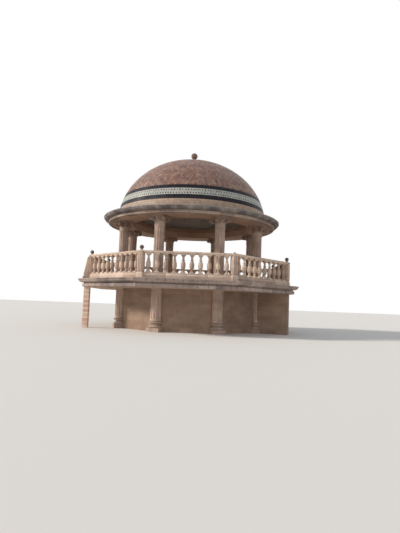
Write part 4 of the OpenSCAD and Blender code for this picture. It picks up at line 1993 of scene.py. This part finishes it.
@dataclass(frozen=True)
class TileRow:
    """Row of equal tiles round the dome, spun from one tile and then varied one by one."""

    foot: Vector
    head: Vector
    count: int
    joint: float
    sunk: float = 0.006
    thick: float = 0.009
    rim: float = 0.005
    swell: float = 0.002
    lean: float = 0.0006
    tip: float = 0.0008

    @property
    def slope(self) -> Vector:
        """Way up the tile towards +X."""
        return (self.head - self.foot).normalized()

    @property
    def outward(self) -> Vector:
        """Way out of the dome at the tile towards +X."""
        return Vector((self.slope.z, 0, -self.slope.x))

    def half_width(self, radius: float) -> float:
        """Half the width of a tile at a distance from the axis."""
        return math.pi * radius / self.count - self.joint / 2

    def tile(self) -> Solid:
        """One tile towards +X, with its own UV map and a slightly raised face.

        Returns:
            The closed tile.
        """
        tile = bmesh.new()
        bmesh.ops.create_grid(tile, x_segments=1, y_segments=1, size=0.5)
        layer = tile.loops.layers.uv.new("UVMap")
        for face in tile.faces:
            for loop in face.loops:
                loop[layer].uv = (loop.vert.co.x + 0.5, loop.vert.co.y + 0.5)
        gap = self.slope * self.joint / 2
        sunk = self.outward * self.sunk
        for vert in tile.verts:
            side = 1 if vert.co.x > 0 else -1
            edge = self.head if vert.co.y > 0 else self.foot
            middle = self.head - gap if vert.co.y > 0 else self.foot + gap
            vert.co = middle - sunk + Vector((0, side * self.half_width(edge.x), 0))
        Block.thicken(tile, self.outward * self.thick)
        front = max(tile.faces, key=lambda face: face.calc_center_median().dot(self.outward))
        bmesh.ops.inset_individual(
            tile, faces=[front], thickness=self.rim, depth=self.swell, use_even_offset=True
        )
        return tile

    def lay(self, stones: Bin, shift: float, cells: list[float], weave: float) -> None:
        """Spins the tile round the dome, and gives each copy its tone and a slight lean.

        Args:
            stones: The piece that takes them.
            shift: Turn of the row, as a share of a tile.
            cells: Tone of the large lozenge that each tile lies in.
            weave: How strongly the tile's tone follows it.
        """
        row = self.tile()
        size = len(row.verts)
        length = (self.head - self.foot).length
        half = self.half_width(self.foot.x)
        spots = []
        for vert in row.verts:
            spots.append((vert.co.y / half, (vert.co - self.foot).dot(self.slope) / length - 0.5))
        last = self.count - 1
        Block.spin(row, Block.parts(row), math.tau * last / self.count, last, duplicate=True)
        mark = row.verts.layers.float.new("tone")
        row.verts.index_update()
        draws = []
        for cell in cells:
            tone = (1 - weave) * stones.random.random() + weave * cell
            draws.append((tone, stones.random.gauss(0, self.lean), stones.random.gauss(0, self.tip)))
        outward = self.outward
        for vert in row.verts:
            number, spot = divmod(vert.index, size)
            tone, lean, tip = draws[number]
            across, up = spots[spot]
            vert[mark] = tone
            turn = Matrix.Rotation(math.tau * number / self.count, 3, "Z")
            vert.co += (turn @ outward) * (lean * across + tip * up)
        Block.turn(row, math.tau * shift / self.count)
        data = bpy.data.meshes.new("tiles")
        row.to_mesh(data)
        row.free()
        stones.mesh.from_mesh(data)
        bpy.data.meshes.remove(data)


@dataclass
class Roof:
    """Round ring beam and cornice of single stones, and a dome of glazed tiles."""

    beam_z: float = 5.556
    beam_h: float = 0.329
    inner_r: float = 3.23
    outer_r: float = 4.33
    lower_r: float = 4.584
    lower_h: float = 0.125
    upper_r: float = 4.839
    dome_r: float = 4.08
    dome_rise: float = 3.59
    dome_drop: float = 0.135
    cream_h: float = 0.46
    lower_dark_h: float = 0.215
    pattern_h: float = 0.335
    upper_dark_h: float = 0.19
    tile: float = 0.11
    pattern_tile: float = 0.136
    lozenges: tuple[tuple[float, int], ...] = ((0.62, 84), (0.3, 42), (0.0, 21))
    lozenge_h: float = 0.42
    weave: float = 0.3
    joint: float = 0.004
    gap: float = 0.014
    cap_r: float = 0.3
    ball_r: float = 0.18
    finial_rise: float = 0.43
    cap_rise: float = 0.07

    @property
    def top_z(self) -> float:
        """Top of the ring beam."""
        return self.beam_z + self.beam_h

    @property
    def centre_z(self) -> float:
        """Level at which the dome is widest."""
        return self.top_z - self.dome_drop

    @property
    def dome_top_z(self) -> float:
        """Top of the dome."""
        return self.centre_z + self.dome_rise

    @property
    def cap_seat(self) -> float:
        """Level at which the tiles reach the edge of the cap stone."""
        return self.centre_z + self.dome_rise * math.sqrt(1 - (self.cap_r / self.dome_r) ** 2)

    def ring(
        self, name: str, profile: Profile, seed: Seed, finish: StoneFinish, count: int, steps: int,
        wear: float = 0.0,
    ) -> None:
        """Builds a round course of curved stones.

        Args:
            name: The model's node that it replaces.
            profile: Points as (radius, z).
            seed: Start of its random numbers.
            finish: Its finish.
            count: Number of stones.
            steps: Number of flats along each.
            wear: Width of the worn strip along the stones' edges.
        """
        stones = Bin(seed)
        reach = max(x for x, _ in profile)
        angle = math.tau / count
        for k in range(count):
            block = Block.arc(profile, angle - self.gap / reach, steps)
            Block.soften(block, width=0.006, wear=wear)
            slip = Matrix.Translation((-stones.random.uniform(0.0, 0.006), 0, 0))
            stones.add(block, Matrix.Rotation(angle * (k + 0.5), 4, "Z") @ slip)
        stones.shown(f"{name}_stones", finish, name)

    def courses(self) -> None:
        """Builds the ring beam and both cornice courses, with mortar behind their joints."""
        beam = [
            (self.inner_r, self.beam_z), (self.outer_r, self.beam_z),
            (self.outer_r, self.top_z), (self.inner_r, self.top_z),
        ]
        outline = CorniceOutline(
            back_r=self.outer_r, lower_r=self.lower_r, upper_r=self.upper_r,
            foot_z=self.beam_z, lower_h=self.lower_h, top_z=self.top_z,
            recess_h=0.025, recess_depth=0.04, fillet_h=0.06, fillet_gap=0.01, overhang=0.035,
        )
        self.ring("ring_beam", beam, Seed.BEAM, Finishes.beam, count=24, steps=6)
        for name, profile, seed, finish in (
            ("roof_lower_cornice", outline.lower(), Seed.ROOF_LOWER, Finishes.roof_foot),
            ("roof_upper_cornice", outline.upper(), Seed.ROOF_UPPER, Finishes.roof_edge),
        ):
            self.ring(name, profile, seed, finish, count=40, steps=4, wear=0.02)
        inset = 0.01
        near = self.inner_r + inset
        far = self.lower_r - outline.recess_depth - inset
        low = self.beam_z + inset
        high = self.top_z - inset
        mortar = Bin(Seed.ROOF_CORE)
        core = [(near, low), (far, low), (far, high), (near, high), (near, low)]
        mortar.add(Block.turned(core, steps=192))
        mortar.shown("roof_mortar", Finishes.mortar)

    def radius(self, z: float) -> float:
        """Radius of the dome's outer face at a height."""
        return self.dome_r * math.sqrt(max(0.0, 1 - ((z - self.centre_z) / self.dome_rise) ** 2))

    def rows(self, low: float, high: float, count: int | None = None) -> list[tuple[float, float]]:
        """Splits a band of the dome into rows of equal slope length.

        Args:
            low: Foot of the band.
            high: Top of the band.
            count: Number of rows; as many as tiles fit, if none is given.

        Returns:
            Foot and top height of each row.
        """
        samples = 400
        heights = [low + (high - low) * k / samples for k in range(samples + 1)]
        lengths = [0.0]
        for first, second in zip(heights, heights[1:]):
            lengths.append(lengths[-1] + math.hypot(second - first, self.radius(second) - self.radius(first)))
        count = count or max(1, round(lengths[-1] / self.tile))
        marks = []
        place = 0
        for k in range(count + 1):
            while place < samples and lengths[place] < lengths[-1] * k / count - 1e-9:
                place += 1
            marks.append(heights[place])
        return list(zip(marks, marks[1:]))

    def harlequin(self, turn: float, climb: float, radius: float) -> float:
        """Tone of the large lozenges that the small tiles of the field are laid in.

        Args:
            turn: Place round the dome, as a share of a full turn.
            climb: Height above the springing.
            radius: The dome's radius there.

        Returns:
            0 in a dark lozenge and 1 in a pale one.
        """
        count = next(count for share, count in self.lozenges if radius > share * self.dome_r)
        rise = climb / self.lozenge_h
        return float((math.floor(turn * count + rise) + math.floor(turn * count - rise)) % 2)

    def band(
        self, name: str, zones: list[tuple[float, float]], finish: GlazeFinish, seed: Seed,
        width: float | None = None, rows: int | None = None, bond: Bond = Bond.STACKED,
        weave: float = 0.0,
    ) -> None:
        """Covers zones of the dome with rows of tiles.

        Args:
            name: The new piece's name.
            zones: Foot and top height of each zone.
            finish: The tiles' finish.
            seed: Start of their random numbers.
            width: Width of a tile, if it isn't the usual one.
            rows: Number of rows in each zone, if it isn't set by the tile.
            bond: How the rows are shifted.
            weave: How strongly the tiles' tone follows the large lozenges.
        """
        stones = Bin(seed)
        for low, high in zones:
            for index, (foot_z, head_z) in enumerate(self.rows(low, high, rows)):
                shift = bond.value if index % 2 else Bond.STACKED.value
                foot = Vector((self.radius(foot_z), 0, foot_z))
                head = Vector((self.radius(head_z), 0, head_z))
                girth = math.tau * self.radius((foot_z + head_z) / 2)
                count = max(8, round(girth / (width or self.tile)))
                climb = foot_z - self.centre_z
                cells = [self.harlequin((k + shift) / count, climb, foot.x) for k in range(count)]
                TileRow(foot, head, count, self.joint).lay(stones, shift, cells, weave)
        stones.shown(name, finish)

    def tiles(self) -> None:
        """Lays the cream, dark, patterned and red tiles."""
        cream = self.top_z + self.cream_h
        dark = cream + self.lower_dark_h
        pattern = dark + self.pattern_h
        upper = pattern + self.upper_dark_h
        self.band(
            "cream_tiles", [(self.top_z, cream)], Finishes.cream_tile, Seed.CREAM_TILES,
            bond=Bond.RUNNING,
        )
        self.band("dark_tiles", [(cream, dark), (pattern, upper)], Finishes.dark_tile, Seed.DARK_TILES)
        self.band(
            "lozenge_tiles", [(dark, pattern)], Finishes.pattern_tile, Seed.LOZENGE_TILES,
            width=self.pattern_tile, rows=2,
        )
        self.band(
            "red_tiles", [(upper, self.cap_seat)], Finishes.red_tile, Seed.RED_TILES,
            bond=Bond.RUNNING, weave=self.weave,
        )

    def cap(self) -> None:
        """Builds the cap stone."""
        low = self.cap_seat
        top = self.dome_top_z
        r = self.cap_r
        profile = [
            (0.0, low - 0.02), (r, low - 0.02), (r, low + 0.05), (r - 0.01, low + 0.06),
            (0.86 * r, top + 0.045), (0.72 * r, top + 0.066), (0.6 * r, top + self.cap_rise),
            (0.0, top + self.cap_rise),
        ]
        stones = Bin(Seed.CROWN)
        stones.add(Block.turned(profile, steps=48), tone=0.5)
        stones.shown("crown_stone", Finishes.ball, "dome_cap")

    def ball(self) -> None:
        """Builds the ball on its neck."""
        foot = self.dome_top_z + self.cap_rise
        centre = self.dome_top_z + self.finial_rise
        radius = self.ball_r
        neck = 0.45 * radius
        collar = neck + 0.015
        steps = 20
        start = math.degrees(math.asin(collar / radius)) - 90
        step = (90 - start) / steps
        profile = [
            (0.0, foot), (neck + 0.04, foot), (neck + 0.035, foot + 0.025), (neck + 0.01, foot + 0.04),
            (neck, foot + 0.06), (0.9 * neck, foot + 0.13), (neck, centre - 0.175), (collar, centre - 0.168),
            *elbow((0.0, centre), radius, radius, start + step, step, steps - 1),
            (0.0, centre + radius),
        ]
        stones = Bin(Seed.CROWN_BALL)
        stones.add(Block.turned(profile, steps=40), tone=0.4)
        stones.shown("crown_ball", Finishes.ball, "dome_finial")

    def dress_model(self, nodes: dict[str, bpy.types.Object]) -> None:
        """Dresses the model's own pieces that stay: the shell, its ledge and the tile beds.

        Args:
            nodes: The model's nodes by name.
        """
        dress(nodes["dome_shell"], Finishes.plaster)
        dress(nodes["inner_ring"], Finishes.beam)
        for name in ("dome_cream_band", "dome_dark_bands", "dome_pattern_band", "dome_tile_field"):
            dress(nodes[name], Finishes.grout)

    def build(self, nodes: dict[str, bpy.types.Object]) -> None:
        """Builds the whole roof.

        Args:
            nodes: The model's nodes by name.
        """
        self.courses()
        self.tiles()
        self.cap()
        self.ball()
        self.dress_model(nodes)


@dataclass(frozen=True)
class Lamp:
    """Far lamp, given by its strength, its width in degrees, the way its light travels and its colour."""

    name: str
    strength: float
    width: float
    towards: tuple[float, float, float]
    colour: tuple[float, float, float]

    def build(self) -> None:
        """Puts the lamp into the scene."""
        data = bpy.data.lights.new(self.name, "SUN")
        data.energy = self.strength
        data.angle = math.radians(self.width)
        data.color = self.colour
        lamp = bpy.data.objects.new(self.name, data)
        lamp.rotation_euler = Vector(self.towards).to_track_quat("-Z", "Y").to_euler()
        bpy.context.scene.collection.objects.link(lamp)


@dataclass
class Setting:
    """Floor, lamps, white surroundings and the camera."""

    lamps: tuple[Lamp, ...] = (
        Lamp("key", 3.2, 9.0, (0.87, 0.15, -0.47), (1.0, 0.95, 0.88)),
        Lamp("fill", 0.3, 40.0, (-0.25, 0.85, -0.45), (0.95, 0.97, 1.0)),
    )
    floor_reach: float = 150.0
    floor_colour: Rgb = (222, 218, 212)
    sky_colour: Colour = (0.86, 0.92, 1.0, 1.0)
    sky_strength: float = 0.5
    camera_place: tuple[float, float, float] = (0.548, -24.10, 1.415)
    lens: float = 29.2
    pitch: float = 0.0852
    yaw: float = 0.0003
    roll: float = 0.0381

    def floor(self) -> None:
        """Lays a plain pale floor."""
        surface = bmesh.new()
        bmesh.ops.create_grid(surface, x_segments=1, y_segments=1, size=self.floor_reach)
        data = bpy.data.meshes.new("floor")
        surface.to_mesh(data)
        surface.free()
        material = bpy.data.materials.new("floor_pale")
        material.use_nodes = True
        shader = material.node_tree.nodes["Principled BSDF"]
        shader.inputs["Base Color"].default_value = tint(self.floor_colour)
        shader.inputs["Roughness"].default_value = 0.9
        data.materials.append(material)
        floor = bpy.data.objects.new("floor", data)
        bpy.context.scene.collection.objects.link(floor)

    def surroundings(self) -> None:
        """Makes the world light soft, and white where the camera or a gloss sees it."""
        world = bpy.data.worlds.new("studio")
        world.use_nodes = True
        bpy.context.scene.world = world
        wiring = Wiring(world.node_tree)
        fill = wiring.nodes["Background"]
        fill.inputs["Color"].default_value = self.sky_colour
        fill.inputs["Strength"].default_value = self.sky_strength
        white = (1.0, 1.0, 1.0, 1.0)
        backdrop = wiring.add("ShaderNodeBackground", {"Color": white, "Strength": 1.0})
        path = wiring.add("ShaderNodeLightPath")
        seen = wiring.math("MAXIMUM", path.outputs["Is Camera Ray"], path.outputs["Is Transmission Ray"])
        seen = wiring.math("MAXIMUM", seen, path.outputs["Is Glossy Ray"])
        blend = wiring.add("ShaderNodeMixShader", {0: seen, 1: fill.outputs[0], 2: backdrop.outputs[0]})
        wiring.feed(wiring.nodes["World Output"].inputs["Surface"], blend.outputs[0])

    def camera(self) -> None:
        """Places the camera as the photograph was taken."""
        data = bpy.data.cameras.new("camera")
        data.sensor_fit = "AUTO"
        data.sensor_width = 36.0
        data.lens = self.lens
        data.clip_end = 500.0
        camera = bpy.data.objects.new("camera", data)
        aim = Matrix.Rotation(-self.yaw, 4, "Z") @ Matrix.Rotation(QUARTER + self.pitch, 4, "X")
        tilt = Matrix.Rotation(self.roll, 4, "Z")
        camera.matrix_world = Matrix.Translation(self.camera_place) @ aim @ tilt
        bpy.context.scene.collection.objects.link(camera)
        bpy.context.scene.camera = camera

    def build(self) -> None:
        """Builds the whole setting."""
        self.floor()
        self.surroundings()
        for lamp in self.lamps:
            lamp.build()
        self.camera()
        bpy.context.scene.view_settings.view_transform = "Standard"


def main() -> None:
    """Builds every piece of the bandstand over the model."""
    logging.basicConfig(level=logging.INFO, format="%(name)s: %(message)s")
    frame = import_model()
    LowerStorey().build()
    Deck().build()
    Balustrade().build()
    UpperStorey().build()
    Roof().build(frame["nodes"])
    Setting().build()


if __name__ == "__main__":
    main()
